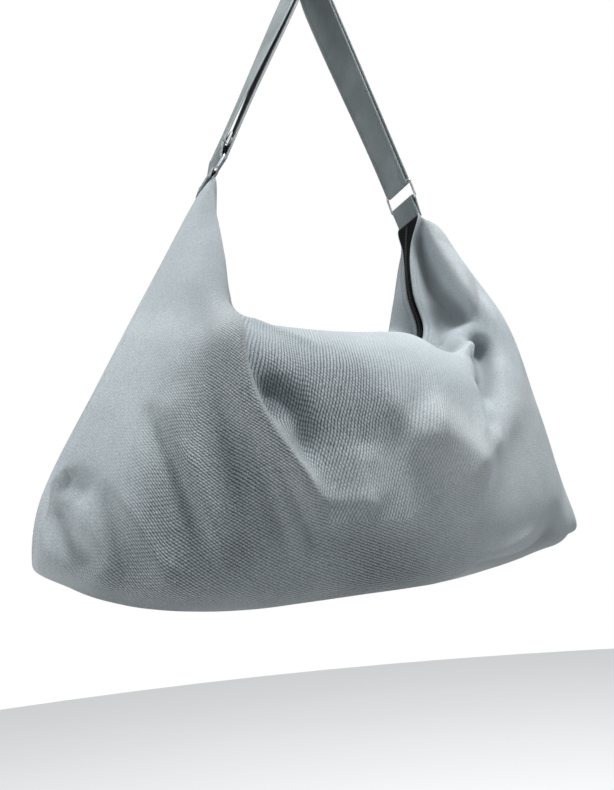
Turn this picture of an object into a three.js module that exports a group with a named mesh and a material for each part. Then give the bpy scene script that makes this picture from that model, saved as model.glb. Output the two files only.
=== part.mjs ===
// Canvas crossbody bag, hanging by its doubled shoulder strap.
// Millimetres, +Z up, the bag's long side along X, its front towards -Y.
// The origin is the hang point, on the underside of the strap at the top of its bend.
import * as THREE from 'three';

// Bag body.
const HALF_WIDTH = 277;          // middle of the bottom edge to a bottom corner
const BODY_HEIGHT = 400;         // right peak down to the lowest stretch of the bottom
const HALF_DEPTH = 98;           // middle plane to the front's fullest point, before its folds
const WALL = 1.6;                // canvas with its turned seams
const PEAK_DROP = 295;           // hang point down to the right peak
const HANG_SHIFT = -11;          // how far the bag's middle hangs beside the hang point

// Strap, rings, tabs and slider.
const STRAP_WIDTH = 38;
const STRAP_THICKNESS = 2;
const PEG_RADIUS = 8;            // inside of the strap's bend at the hang point
const STRAND_SPACING = 4;        // middle to middle of the two strands on that bend
const TWIST = 0.297;             // how far the strap has turned about the vertical at the top, in radians
const TWIST_FOOT = -240;         // height where the turn starts
const TWIST_HEAD = -16;          // height where it is full
const WIRE_RADIUS = 1.4;         // steel wire of the rings
const RING_HEIGHT = 21;          // upper bar to lower bar, between the wires' middles
const RING_CORNER = 3;           // bend of the wire at a ring's corners
const SIDE_PLAY = 1.6;           // strap edge to the metal beside it
const RING_DROP = { left: 279, right: 256.5 };
const RING_REACH = { left: -126, right: 93.5 };
const SLIDER_LIFT = 20;          // left ring's upper bar up to the slider's middle bar
const SLIDER_BAR = 2.2;          // width and thickness of its bars
const SLIDER_SLOT = 6.4;
const STUB_LENGTH = 5;           // sewn end past the slider's middle bar
const STUB_LEAN = 1.3;           // how far the ring's sewn end leans out past the slider
const SEAT_LIFT = { left: 1.7, right: 0.95 };  // a tab's feet above its gusset's top edge
const FIT_GAP = 0.35;            // clearance between pieces that touch

// Zip.
const ZIP_THICKNESS = 1.2;
const ZIP_END = 0.934;           // where the tape stops short of the side seams, in the sections' u
const PULL_WIDTH = 8;
const PULL_LENGTH = 14;
const PULL_THICKNESS = 3;
const PULL_PLACE = -0.8;         // where the closed slider stands, in the sections' u

// Mesh density.
const FRONT_CELLS = 44;          // across the front, between the side seams
const GUSSET_CELLS = 2;          // from a side seam to the middle of its gusset
const DOWN_CELLS = 20;
const SIDE_SEAM = 0.95;          // the side seams' place in the sections' u
const ARC_STEP = Math.PI / 9;
const STRAP_STEP = 20;           // longest piece of the strap's straight stretches
const WIRE_SIDES = 10;

const CANVAS = { color: 0x8f9a9d, roughness: 0.92, metalness: 0 };
const STRAP_CLOTH = { color: 0x87928f, roughness: 0.9, metalness: 0 };
const ZIP_TAPE = { color: 0x14161a, roughness: 0.8, metalness: 0 };
const STEEL = { color: 0xc9ccd0, roughness: 0.25, metalness: 1 };

// Sections of the bag from its left side to its right side. A row is one line that runs from
// the mouth's edge over the roll, down the panel and to the middle of the bottom.
// x is in shares of HALF_WIDTH, y of HALF_DEPTH, z of BODY_HEIGHT below the right peak.
// A bow moves the panel's upper or lower part sideways, and the back's roll stands apart
// from the front's by the last two columns.
const SECTION_COLUMNS = ['u', 'mouthX', 'mouthY', 'mouthZ', 'rollX', 'rollY', 'rollZ',
  'bellyY', 'hemX', 'hemZ', 'highBow', 'lowBow', 'backRollX', 'backRollZ'];
const SECTIONS = [
  [-1.00, -0.466, 0.00, 0.035, -0.506, 0.00, 0.078, 0.00, -0.935, 0.872, 0.03, -0.01, 0.00, 0.00],
  [-0.95, -0.456, 0.19, 0.035, -0.498, 0.21, 0.075, 0.20, -0.995, 0.893, 0.03, -0.02, 0.00, 0.00],
  [-0.86, -0.44, 0.11, 0.12, -0.472, 0.27, 0.135, 0.50, -0.89, 0.938, 0.01, -0.02, 0.02, 0.00],
  [-0.72, -0.43, 0.08, 0.23, -0.452, 0.30, 0.24, 0.76, -0.745, 0.975, 0.00, -0.01, 0.04, 0.00],
  [-0.52, -0.42, 0.08, 0.36, -0.44, 0.32, 0.364, 0.92, -0.54, 0.998, 0.00, 0.00, 0.06, -0.02],
  [-0.38, -0.34, 0.08, 0.44, -0.36, 0.27, 0.39, 0.97, -0.39, 1.003, 0.00, 0.00, 0.05, -0.05],
  [-0.20, -0.19, 0.08, 0.475, -0.20, 0.22, 0.394, 1.00, -0.205, 1.00, 0.00, 0.00, 0.02, -0.02],
  [0.00, 0.00, 0.08, 0.48, 0.00, 0.22, 0.39, 1.00, 0.00, 0.995, 0.00, 0.00, 0.00, 0.00],
  [0.20, 0.18, 0.08, 0.47, 0.19, 0.26, 0.38, 1.00, 0.205, 0.99, 0.00, 0.00, -0.02, -0.02],
  [0.38, 0.315, 0.08, 0.43, 0.355, 0.33, 0.374, 0.97, 0.385, 0.98, 0.00, 0.00, -0.08, -0.06],
  [0.52, 0.362, 0.08, 0.345, 0.438, 0.34, 0.345, 0.92, 0.535, 0.965, 0.00, 0.00, -0.12, -0.03],
  [0.72, 0.362, 0.08, 0.22, 0.455, 0.30, 0.23, 0.77, 0.735, 0.938, 0.01, -0.02, -0.10, 0.00],
  [0.86, 0.378, 0.11, 0.095, 0.464, 0.25, 0.105, 0.52, 0.87, 0.905, 0.028, -0.04, -0.05, 0.00],
  [0.95, 0.408, 0.19, 0.002, 0.474, 0.21, 0.05, 0.20, 0.988, 0.882, 0.03, -0.05, 0.00, 0.00],
  [1.00, 0.414, 0.00, 0.00, 0.476, 0.00, 0.05, 0.00, 0.93, 0.862, 0.03, -0.04, 0.00, 0.00],
];

// Levels of a section below its roll: the share of the way from roll to hem that x and z
// have gone, the share of the belly that y reaches, and how much of each bow is felt.
const ROLL_LEVEL = 0.12;
const LEVEL_COLUMNS = ['v', 'alongX', 'alongZ', 'ofBelly', 'ofHighBow', 'ofLowBow'];
const LEVELS = [
  [0.30, 0.34, 0.23, 0.92, 1.00, 0.00],
  [0.52, 0.65, 0.54, 1.01, 0.50, 0.50],
  [0.74, 0.93, 0.84, 0.92, 0.00, 1.00],
  [0.91, 1.00, 0.985, 0.60, 0.00, 0.30],
  [1.00, 1.00, 1.00, 0.00, 0.00, 0.00],
];

// Folds of a panel as seen from its front: a curve from start over a middle pull to end, x in
// shares of HALF_WIDTH and z of BODY_HEIGHT below the right peak. Rise is in shares of
// HALF_DEPTH, below zero for a valley. Left and right are the reach to each side of the
// curve, in shares of HALF_WIDTH, and crisp goes from 0, round, to 1, creased.
const FOLD_COLUMNS = ['startX', 'startZ', 'pullX', 'pullZ', 'endX', 'endZ', 'rise', 'left', 'right', 'crisp'];
const FRONT_FOLDS = [
  [-0.496, 0.372, -0.604, 0.684, -0.277, 0.84, 0.229, 0.115, 0.047, 0.452],
  [-0.488, 0.355, -0.512, 0.593, -0.29, 0.795, -0.204, 0.035, 0.077, 0.278],
  [-0.093, 0.564, -0.001, 0.72, 0.118, 0.713, 0.068, 0.064, 0.094, 0.433],
  [0.004, 0.628, 0.146, 0.705, 0.28, 0.781, 0.188, 0.133, 0.102, 0.186],
  [-0.169, 0.698, -0.227, 0.786, -0.142, 0.859, 0.055, 0.049, 0.039, 0.204],
  [-0.721, 0.603, -0.63, 0.629, -0.564, 0.897, 0.081, 0.078, 0.063, 0.15],
  [0.387, 0.084, 0.466, 0.192, 0.454, 0.463, -0.239, 0.064, 0.173, 0.138],
  [0.403, 0.086, 0.489, 0.202, 0.522, 0.446, 0.259, 0.04, 0.055, 0.109],
  [0.365, 0.126, 0.385, 0.206, 0.451, 0.345, 0.112, 0.035, 0.048, 0.514],
  [0.415, 0.266, 0.299, 0.388, 0.375, 0.449, -0.17, 0.081, 0.065, 0.042],
  [0.423, 0.408, 0.552, 0.382, 0.283, 0.674, -0.216, 0.055, 0.035, 0.195],
  [0.528, 0.556, 0.275, 0.745, 0.117, 0.957, 0.066, 0.07, 0.059, 0.189],
  [0.708, 0.829, 0.552, 1.059, 0.174, 0.959, -0.134, 0.063, 0.097, 0.021],
  [-0.983, 0.756, -0.957, 0.871, -0.872, 0.92, -0.094, 0.035, 0.035, 0.061],
  [-0.962, 0.736, -0.954, 0.754, -0.871, 0.766, -0.068, 0.057, 0.041, 0.00],
];
const BACK_FOLDS = [
  [-0.46, 0.34, -0.46, 0.56, -0.28, 0.74, 0.08, 0.14, 0.05, 0.00],
  [-0.38, 0.42, -0.38, 0.58, -0.20, 0.74, -0.12, 0.05, 0.16, 0.00],
  [0.46, 0.32, 0.46, 0.54, 0.28, 0.72, 0.08, 0.05, 0.14, 0.00],
  [0.38, 0.40, 0.38, 0.56, 0.20, 0.72, -0.12, 0.16, 0.05, 0.00],
  [-0.05, 0.50, 0.04, 0.56, 0.14, 0.66, 0.04, 0.06, 0.06, 0.00],
  [0.84, 0.72, 0.80, 0.82, 0.72, 0.90, -0.04, 0.05, 0.05, 0.00],
  [-0.84, 0.72, -0.80, 0.82, -0.72, 0.90, -0.04, 0.05, 0.05, 0.00],
];
const FOLD_STEPS = 16;           // stretches that a fold's curve is measured in
const FOLD_END_FADE = 0.25;      // share of a fold's length over which each end dies out
const CREASE_FALL = 1.5;         // how steeply a creased fold falls off, in reaches
const CREASE_ROUND = 0.2;        // how far the crease itself is rounded, in reaches
const EDGE_FADE = 0.06;          // how near a seam, in u or v, the folds have died out
const SLOPE_STEP = 0.004;        // step in u or v over which a panel's slope is taken

const group = new THREE.Group();

const asRows = (columns, table) => table.map((row) => (
  Object.fromEntries(columns.map((name, i) => [name, row[i]]))
));
const sections = asRows(SECTION_COLUMNS, SECTIONS);
const levels = asRows(LEVEL_COLUMNS, LEVELS);

const mix = (a, b, share) => a + (b - a) * share;
const smoothStep = (t) => {
  const s = Math.min(Math.max(t, 0), 1);
  return s * s * (3 - 2 * s);
};

// Smooth curve through values at rising places, with the slopes of a parabola through neighbours.
function smoothThrough(places, values, at) {
  const last = places.length - 1;
  const rise = (i) => (values[i + 1] - values[i]) / (places[i + 1] - places[i]);
  const slope = (i) => {
    if (i === 0) return rise(0);
    if (i === last) return rise(last - 1);
    const before = places[i] - places[i - 1];
    const after = places[i + 1] - places[i];
    return (rise(i - 1) * after + rise(i) * before) / (before + after);
  };
  const t = Math.min(Math.max(at, places[0]), places[last]);
  let i = 0;
  while (i < last - 1 && t > places[i + 1]) i += 1;
  const h = places[i + 1] - places[i];
  const s = (t - places[i]) / h;
  return (2 * s ** 3 - 3 * s ** 2 + 1) * values[i] + (s ** 3 - 2 * s ** 2 + s) * h * slope(i)
    + (3 * s ** 2 - 2 * s ** 3) * values[i + 1] + (s ** 3 - s ** 2) * h * slope(i + 1);
}

const sectionPlaces = sections.map((row) => row.u);
const sectionAt = (name, u) => smoothThrough(sectionPlaces, sections.map((row) => row[name]), u);

// A point of a panel before its folds, with the front's sign of y: u across from -1 to 1,
// v down from 0 to 1, side -1 for the front and 1 for the back.
function panelPoint(u, v, side) {
  const row = Object.fromEntries(SECTION_COLUMNS.slice(1).map((name) => [name, sectionAt(name, u)]));
  const rollX = row.rollX + (side > 0 ? row.backRollX : 0);
  const rollZ = row.rollZ + (side > 0 ? row.backRollZ : 0);
  const places = [0, ROLL_LEVEL, ...levels.map((level) => level.v)];
  const bow = (level) => row.highBow * level.ofHighBow + row.lowBow * level.ofLowBow;
  const x = [row.mouthX, rollX, ...levels.map((l) => mix(row.rollX, row.hemX, l.alongX) + bow(l))];
  const y = [row.mouthY, row.rollY, ...levels.map((l) => row.bellyY * l.ofBelly)];
  const z = [row.mouthZ, rollZ, ...levels.map((l) => mix(row.rollZ, row.hemZ, l.alongZ))];
  return new THREE.Vector3(
    HANG_SHIFT + HALF_WIDTH * smoothThrough(places, x, v),
    -HALF_DEPTH * smoothThrough(places, y, v),
    -PEAK_DROP - BODY_HEIGHT * smoothThrough(places, z, v),
  );
}

const elevation = (x, z) => new THREE.Vector2(HANG_SHIFT + HALF_WIDTH * x, -PEAK_DROP - BODY_HEIGHT * z);

const asFolds = (table) => asRows(FOLD_COLUMNS, table).map((fold) => {
  const ends = [elevation(fold.startX, fold.startZ), elevation(fold.endX, fold.endZ)];
  const curve = new THREE.QuadraticBezierCurve(ends[0], elevation(fold.pullX, fold.pullZ), ends[1]);
  return { ...fold, points: curve.getPoints(FOLD_STEPS) };
});
const frontFolds = asFolds(FRONT_FOLDS);
const backFolds = asFolds(BACK_FOLDS);

// How far one fold lifts the cloth at a place (x, z) of the panel.
function foldLift(fold, x, z) {
  let nearest = 0;
  let distance = Infinity;
  let isRight = false;
  for (let i = 0; i < FOLD_STEPS; i += 1) {
    const along = fold.points[i + 1].clone().sub(fold.points[i]);
    const off = new THREE.Vector2(x, z).sub(fold.points[i]);
    const share = Math.min(Math.max(off.dot(along) / along.lengthSq(), 0), 1);
    off.addScaledVector(along, -share);
    if (off.length() < distance) {
      distance = off.length();
      nearest = (i + share) / FOLD_STEPS;
      isRight = along.cross(off) > 0;
    }
  }
  const beyond = distance / (HALF_WIDTH * (isRight ? fold.right : fold.left));
  const rounded = Math.exp(-beyond * beyond);
  const creased = Math.exp(CREASE_ROUND - Math.hypot(CREASE_FALL * beyond, CREASE_ROUND));
  const ends = smoothStep(nearest / FOLD_END_FADE) * smoothStep((1 - nearest) / FOLD_END_FADE);
  return HALF_DEPTH * fold.rise * mix(rounded, creased, fold.crisp) * ends;
}

// A point of the finished front (side -1) or back (side 1).
function clothPoint(u, v, side) {
  const point = panelPoint(u, v, side);
  const across = panelPoint(Math.min(u + SLOPE_STEP, 1), v, side)
    .sub(panelPoint(Math.max(u - SLOPE_STEP, -1), v, side));
  const down = panelPoint(u, Math.min(v + SLOPE_STEP, 1), side)
    .sub(panelPoint(u, Math.max(v - SLOPE_STEP, 0), side));
  const outward = down.cross(across).normalize();
  const fade = smoothStep((1 - Math.abs(u)) / EDGE_FADE) * smoothStep((1 - v) / EDGE_FADE)
    * smoothStep(v / EDGE_FADE);
  const folds = side < 0 ? frontFolds : backFolds;
  const lift = folds.reduce((sum, fold) => sum + foldLift(fold, point.x, point.z), 0);
  point.addScaledVector(outward, lift * fade);
  point.y *= -side;
  return point;
}

function solid(name, geometry, finish) {
  const mesh = new THREE.Mesh(geometry, new THREE.MeshStandardMaterial(finish));
  mesh.name = name;
  group.add(mesh);
  return mesh;
}

function indexedGeometry(points, faces) {
  const geometry = new THREE.BufferGeometry();
  geometry.setAttribute('position', new THREE.Float32BufferAttribute(points.flatMap((p) => p.toArray()), 3));
  geometry.setIndex(faces);
  return geometry;
}

// The hollow bag: an outer skin of front and back panels that meet along the bottom and in
// the gussets, the same skin set inward by the wall, and a rim around the mouth.
function bagGeometry() {
  const places = [];
  for (let i = 0; i < GUSSET_CELLS; i += 1) places.push(-1 + (i / GUSSET_CELLS) * (1 - SIDE_SEAM));
  for (let i = 0; i <= FRONT_CELLS; i += 1) places.push(SIDE_SEAM * (2 * i / FRONT_CELLS - 1));
  for (let i = 1; i <= GUSSET_CELLS; i += 1) places.push(SIDE_SEAM + (i / GUSSET_CELLS) * (1 - SIDE_SEAM));
  const last = places.length - 1;

  const outer = [];
  const shared = new Map();
  const indexOf = (i, j, side) => {
    const isShared = i === 0 || i === last || j === DOWN_CELLS;
    const key = `${i} ${j} ${isShared ? 0 : side}`;
    if (!shared.has(key)) {
      shared.set(key, outer.length);
      outer.push(clothPoint(places[i], j / DOWN_CELLS, side));
    }
    return shared.get(key);
  };

  const skin = [];
  for (const side of [-1, 1]) {
    for (let i = 0; i < last; i += 1) {
      for (let j = 0; j < DOWN_CELLS; j += 1) {
        const corners = [indexOf(i, j, side), indexOf(i, j + 1, side),
          indexOf(i + 1, j + 1, side), indexOf(i + 1, j, side)];
        if (side > 0) corners.reverse();
        const [a, b, c, d] = corners;
        const isShort = outer[a].distanceTo(outer[c]) < outer[b].distanceTo(outer[d]);
        if (isShort) skin.push(a, b, c, a, c, d);
        else skin.push(a, b, d, b, c, d);
      }
    }
  }

  const rim = [];
  for (let i = 0; i <= last; i += 1) rim.push(indexOf(i, 0, -1));
  for (let i = last - 1; i > 0; i -= 1) rim.push(indexOf(i, 0, 1));

  const outerSkin = indexedGeometry(outer, skin);
  outerSkin.computeVertexNormals();
  const normals = outerSkin.getAttribute('normal');
  const inner = outer.map((p, i) => p.clone().addScaledVector(
    new THREE.Vector3().fromBufferAttribute(normals, i),
    -WALL,
  ));

  const count = outer.length;
  const faces = [...skin];
  for (let i = 0; i < skin.length; i += 3) {
    faces.push(count + skin[i], count + skin[i + 2], count + skin[i + 1]);
  }
  rim.forEach((a, i) => {
    const b = rim[(i + 1) % rim.length];
    faces.push(a, b, count + b, a, count + b, count + a);
  });
  return indexedGeometry([...outer, ...inner], faces);
}

// A strip of cloth that follows a path in the XZ plane, given as [x, z] points of its middle.
// Its width at each point lies along Y, turned about the vertical by the turn at that height.
function stripGeometry(path, thickness, halfWidths, turnAt = () => 0) {
  const bend = PEG_RADIUS + STRAP_THICKNESS + STRAND_SPACING;
  const turns = path.map(([, z]) => turnAt(z));
  const middle = path.map(([x, z], i) => new THREE.Vector3(
    x,
    Math.min(Math.max(x, -bend), bend) * Math.sin(turns[i]),
    z,
  ));
  const last = middle.length - 1;
  const points = [];
  middle.forEach((at, i) => {
    const before = at.clone().sub(middle[Math.max(i - 1, 0)]).normalize();
    const after = middle[Math.min(i + 1, last)].clone().sub(at).normalize();
    const along = before.clone().add(after).normalize();
    const longer = 1 / Math.max(along.dot(i > 0 ? before : after), 0.5);
    const wide = new THREE.Vector3(-Math.sin(turns[i]), Math.cos(turns[i]), 0);
    wide.addScaledVector(along, -wide.dot(along)).normalize();
    const aside = along.clone().cross(wide).multiplyScalar(thickness / 2 * longer);
    const w = halfWidths(i);
    for (const [n, y] of [[1, -w], [1, w], [-1, w], [-1, -w]]) {
      points.push(at.clone().addScaledVector(aside, n).addScaledVector(wide, y));
    }
  });
  const faces = [];
  for (let i = 0; i < last; i += 1) {
    for (let k = 0; k < 4; k += 1) {
      const [a, b] = [4 * i + k, 4 * i + (k + 1) % 4];
      faces.push(a, b + 4, b, a, a + 4, b + 4);
    }
  }
  const end = 4 * last;
  faces.push(0, 2, 3, 0, 1, 2, end, end + 2, end + 1, end, end + 3, end + 2);
  return indexedGeometry(points, faces);
}

// Where a straight stretch leaves one circle and meets another. An offset above zero keeps
// the circle's middle to the right of the travel, below zero to the left.
function straightBetween(from, fromOffset, to, toOffset) {
  const line = to.clone().sub(from);
  const turn = line.angle() + Math.acos((fromOffset - toOffset) / line.length());
  const aside = new THREE.Vector2(Math.cos(turn), Math.sin(turn));
  return [from.clone().addScaledVector(aside, fromOffset), to.clone().addScaledVector(aside, toOffset)];
}

// Points of an arc round a middle from one point to another, clockwise or not.
function arcPoints(middle, from, to, clockwise) {
  const start = from.clone().sub(middle).angle();
  let sweep = to.clone().sub(middle).angle() - start;
  if (clockwise && sweep > 0) sweep -= 2 * Math.PI;
  if (!clockwise && sweep < 0) sweep += 2 * Math.PI;
  const steps = Math.max(2, Math.ceil(Math.abs(sweep) / ARC_STEP));
  const radius = from.distanceTo(middle);
  return Array.from({ length: steps + 1 }, (_, i) => {
    const angle = start + sweep * (i / steps);
    return [middle.x + radius * Math.cos(angle), middle.y + radius * Math.sin(angle)];
  });
}

const peg = new THREE.Vector2(0, -PEG_RADIUS);
const ringLoop = WIRE_RADIUS + FIT_GAP + STRAP_THICKNESS / 2;
const barLoop = SLIDER_BAR * Math.SQRT1_2 + FIT_GAP + STRAP_THICKNESS / 2;
const innerBend = PEG_RADIUS + STRAP_THICKNESS / 2;
const outerBend = innerBend + STRAND_SPACING;

// A ring's two bars: the upper one carries the strap, the lower one the bag's tab.
const peaks = {
  left: new THREE.Vector2(panelPoint(-1, 0, -1).x, panelPoint(-1, 0, -1).z),
  right: new THREE.Vector2(panelPoint(1, 0, -1).x, panelPoint(1, 0, -1).z),
};
function ringBars(side) {
  const upper = new THREE.Vector2(RING_REACH[side], -RING_DROP[side]);
  const down = peaks[side].clone().sub(upper).normalize();
  return { upper, lower: upper.clone().addScaledVector(down, RING_HEIGHT), down };
}
const rings = { left: ringBars('left'), right: ringBars('right') };

// The strap's first straight stretch, and the slider that lies beside it.
const firstRun = straightBetween(rings.left.upper, -ringLoop, peg, innerBend);
const runUp = firstRun[1].clone().sub(firstRun[0]).normalize();
const runOut = new THREE.Vector2(-runUp.y, runUp.x);
const sliderMiddle = firstRun[0].clone().addScaledVector(runUp, SLIDER_LIFT)
  .addScaledVector(runOut, STRAP_THICKNESS + FIT_GAP + barLoop);

// The strap's straight stretches in short pieces, so that its turn shows as a smooth twist.
function inShortPieces(path) {
  return path.slice(1).reduce((pieces, [x, z], i) => {
    const [fromX, fromZ] = path[i];
    const steps = Math.max(1, Math.ceil(Math.hypot(x - fromX, z - fromZ) / STRAP_STEP));
    for (let k = 1; k <= steps; k += 1) pieces.push([mix(fromX, x, k / steps), mix(fromZ, z, k / steps)]);
    return pieces;
  }, [path[0]]);
}

// One strap: sewn round the left ring, up past the slider, over the hang point, round the
// right ring, back over itself and down to the slider's middle bar, where its end is sewn.
function strapPath() {
  const { left, right } = rings;
  const over = straightBetween(peg, innerBend, right.upper, -ringLoop);
  const back = straightBetween(right.upper, -ringLoop, peg, -outerBend);
  const last = straightBetween(peg, -outerBend, sliderMiddle, -barLoop);
  const barBelow = sliderMiddle.clone().addScaledVector(runUp, -barLoop - STRAP_THICKNESS);
  const stubTop = barBelow.addScaledVector(runOut, SLIDER_BAR / 2 + STRAP_THICKNESS / 2 + STUB_LEAN);
  const stub = straightBetween(stubTop, 0, left.upper, -ringLoop);
  const hookEnd = sliderMiddle.clone().addScaledVector(runOut, -barLoop);
  const hookTip = hookEnd.clone().addScaledVector(runUp, STUB_LENGTH);
  return [
    stub[0].toArray(),
    ...arcPoints(left.upper, stub[1], firstRun[0], false),
    ...arcPoints(peg, firstRun[1], over[0], true),
    ...arcPoints(right.upper, over[1], back[0], false),
    ...arcPoints(peg, back[1], last[0], false),
    ...arcPoints(sliderMiddle, last[1], hookEnd, false),
    hookTip.toArray(),
  ];
}

const strapTurn = (z) => TWIST * smoothStep((z - TWIST_FOOT) / (TWIST_HEAD - TWIST_FOOT));

// A tab's cloth runs from the peak up one side, round the ring's lower bar and down again.
function tabPath(side) {
  const { lower, down } = rings[side];
  const aside = new THREE.Vector2(-down.y, down.x);
  const legGap = (STRAP_THICKNESS + FIT_GAP) / 2;
  const foot = peaks[side].clone().addScaledVector(down, -SEAT_LIFT[side]);
  const feet = [foot.clone().addScaledVector(aside, -legGap), foot.clone().addScaledVector(aside, legGap)];
  const up = straightBetween(feet[0], 0, lower, ringLoop);
  const back = straightBetween(lower, ringLoop, feet[1], 0);
  return [feet[0].toArray(), ...arcPoints(lower, up[1], back[0], true), feet[1].toArray()];
}

// A wire bent to a rounded rectangle in the plane of Y and the line between its two bars.
function ringGeometry(side) {
  const { upper, lower, down } = rings[side];
  const halfWide = STRAP_WIDTH / 2 + SIDE_PLAY + WIRE_RADIUS;
  const middle = upper.clone().add(lower).multiplyScalar(0.5);
  const corners = [[1, 1], [-1, 1], [-1, -1], [1, -1]];
  const path = corners.flatMap(([sy, sd], quarter) => [0, 1, 2, 3].map((k) => {
    const angle = (quarter + k / 3) * Math.PI / 2;
    return [sy * (halfWide - RING_CORNER) + RING_CORNER * Math.cos(angle),
      sd * (RING_HEIGHT / 2 - RING_CORNER) + RING_CORNER * Math.sin(angle)];
  }));
  const points = path.flatMap(([y, d], i) => {
    const quarter = Math.floor(i / 4);
    const angle = (quarter + (i % 4) / 3) * Math.PI / 2;
    return Array.from({ length: WIRE_SIDES }, (_, k) => {
      const turn = 2 * Math.PI * k / WIRE_SIDES;
      const out = WIRE_RADIUS * Math.cos(turn);
      const off = WIRE_RADIUS * Math.sin(turn);
      const along = d + out * Math.sin(angle);
      return new THREE.Vector3(
        middle.x + down.x * along - down.y * off,
        y + out * Math.cos(angle),
        middle.y + down.y * along + down.x * off,
      );
    });
  });
  const faces = [];
  for (let i = 0; i < path.length; i += 1) {
    for (let k = 0; k < WIRE_SIDES; k += 1) {
      const next = (i + 1) % path.length;
      const a = i * WIRE_SIDES + k;
      const b = i * WIRE_SIDES + (k + 1) % WIRE_SIDES;
      const c = next * WIRE_SIDES + (k + 1) % WIRE_SIDES;
      const d = next * WIRE_SIDES + k;
      faces.push(a, b, c, a, c, d);
    }
  }
  return indexedGeometry(points, faces);
}

// The strap's slider: a flat plate with two slots and a middle bar.
function sliderGeometry() {
  const halfWide = STRAP_WIDTH / 2 + SIDE_PLAY + SLIDER_BAR;
  const halfHigh = 1.5 * SLIDER_BAR + SLIDER_SLOT;
  const corner = SLIDER_BAR;
  const plate = new THREE.Shape();
  plate.moveTo(-halfWide + corner, -halfHigh);
  plate.lineTo(halfWide - corner, -halfHigh);
  plate.absarc(halfWide - corner, -halfHigh + corner, corner, -Math.PI / 2, 0, false);
  plate.absarc(halfWide - corner, halfHigh - corner, corner, 0, Math.PI / 2, false);
  plate.absarc(-halfWide + corner, halfHigh - corner, corner, Math.PI / 2, Math.PI, false);
  plate.absarc(-halfWide + corner, -halfHigh + corner, corner, Math.PI, 1.5 * Math.PI, false);
  for (const way of [-1, 1]) {
    const low = way < 0 ? -SLIDER_BAR / 2 - SLIDER_SLOT : SLIDER_BAR / 2;
    const slot = new THREE.Path();
    const slotHalf = STRAP_WIDTH / 2 + SIDE_PLAY;
    slot.moveTo(-slotHalf, low);
    slot.lineTo(-slotHalf, low + SLIDER_SLOT);
    slot.lineTo(slotHalf, low + SLIDER_SLOT);
    slot.lineTo(slotHalf, low);
    slot.closePath();
    plate.holes.push(slot);
  }
  return new THREE.ExtrudeGeometry(plate, { depth: SLIDER_BAR, bevelEnabled: false, curveSegments: 3 });
}

// A point of the mouth's front edge, on the straight stretch between two of the bag's columns.
function mouthPoint(u) {
  const cell = 2 * SIDE_SEAM / FRONT_CELLS;
  const column = Math.min(Math.floor((u + SIDE_SEAM) / cell + 1e-9), FRONT_CELLS - 1);
  const from = column * cell - SIDE_SEAM;
  return panelPoint(from, 0, -1).lerp(panelPoint(from + cell, 0, -1), (u - from) / cell);
}

// The zip's closed tape lies in the mouth's slot and flares with it at both peaks.
function zipGeometry() {
  const points = Array.from({ length: FRONT_CELLS + 1 }, (_, i) => {
    const u = SIDE_SEAM * (2 * i / FRONT_CELLS - 1);
    return mouthPoint(Math.max(-ZIP_END, Math.min(ZIP_END, u)));
  });
  const halfWidths = (i) => -points[i].y - WALL - FIT_GAP;
  return stripGeometry(points.map((p) => [p.x, p.z]), ZIP_THICKNESS, halfWidths);
}

// The zip's slider and pull, as one small plain block with a sloping end.
function pullGeometry() {
  const profile = new THREE.Shape();
  profile.moveTo(0, 0);
  profile.lineTo(PULL_LENGTH, 0);
  profile.lineTo(PULL_LENGTH, PULL_THICKNESS / 3);
  profile.lineTo(PULL_LENGTH / 2, PULL_THICKNESS);
  profile.lineTo(0, PULL_THICKNESS);
  profile.closePath();
  const geometry = new THREE.ExtrudeGeometry(profile, { depth: PULL_WIDTH, bevelEnabled: false });
  geometry.translate(0, 0, -PULL_WIDTH / 2);
  return geometry;
}

solid('bag_body', bagGeometry(), CANVAS);
solid('zip_tape', zipGeometry(), ZIP_TAPE);
const strapHalf = () => STRAP_WIDTH / 2;
solid('strap', stripGeometry(inShortPieces(strapPath()), STRAP_THICKNESS, strapHalf, strapTurn), STRAP_CLOTH);
for (const side of ['left', 'right']) {
  solid(`tab_${side}`, stripGeometry(tabPath(side), STRAP_THICKNESS, strapHalf), STRAP_CLOTH);
  solid(`ring_${side}`, ringGeometry(side), STEEL);
}

const slider = solid('strap_slider', sliderGeometry(), STEEL);
slider.matrixAutoUpdate = false;
slider.matrix.makeBasis(
  new THREE.Vector3(0, 1, 0),
  new THREE.Vector3(runUp.x, 0, runUp.y),
  new THREE.Vector3(0, 1, 0).cross(new THREE.Vector3(runUp.x, 0, runUp.y)),
);
const sliderDepth = new THREE.Vector3().setFromMatrixColumn(slider.matrix, 2);
slider.matrix.setPosition(
  new THREE.Vector3(sliderMiddle.x, 0, sliderMiddle.y).addScaledVector(sliderDepth, -SLIDER_BAR / 2),
);

const pull = solid('zip_pull', pullGeometry(), STEEL);
const pullAt = panelPoint(PULL_PLACE, 0, -1);
const pullNext = panelPoint(PULL_PLACE + SLOPE_STEP, 0, -1);
const pullAlong = new THREE.Vector3(pullNext.x - pullAt.x, 0, pullNext.z - pullAt.z).normalize();
const pullOut = new THREE.Vector3(-pullAlong.z, 0, pullAlong.x);
pull.matrixAutoUpdate = false;
pull.matrix.makeBasis(pullAlong, pullOut, new THREE.Vector3().crossVectors(pullAlong, pullOut));
pull.matrix.setPosition(
  new THREE.Vector3(pullAt.x, 0, pullAt.z).addScaledVector(pullOut, ZIP_THICKNESS / 2 + FIT_GAP),
);

export default group;
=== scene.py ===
"""Canvas crossbody bag, hanging by its doubled shoulder strap: the dressed model.

Tables and sizes are in millimetres or in named shares of them. Meshes are in metres, Z up,
the bag's long side along X, its front towards -Y, the origin where the strap hangs.
"""
import logging
import math
from dataclasses import dataclass, field
from enum import Enum
from typing import Iterable, Sequence, Union

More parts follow.
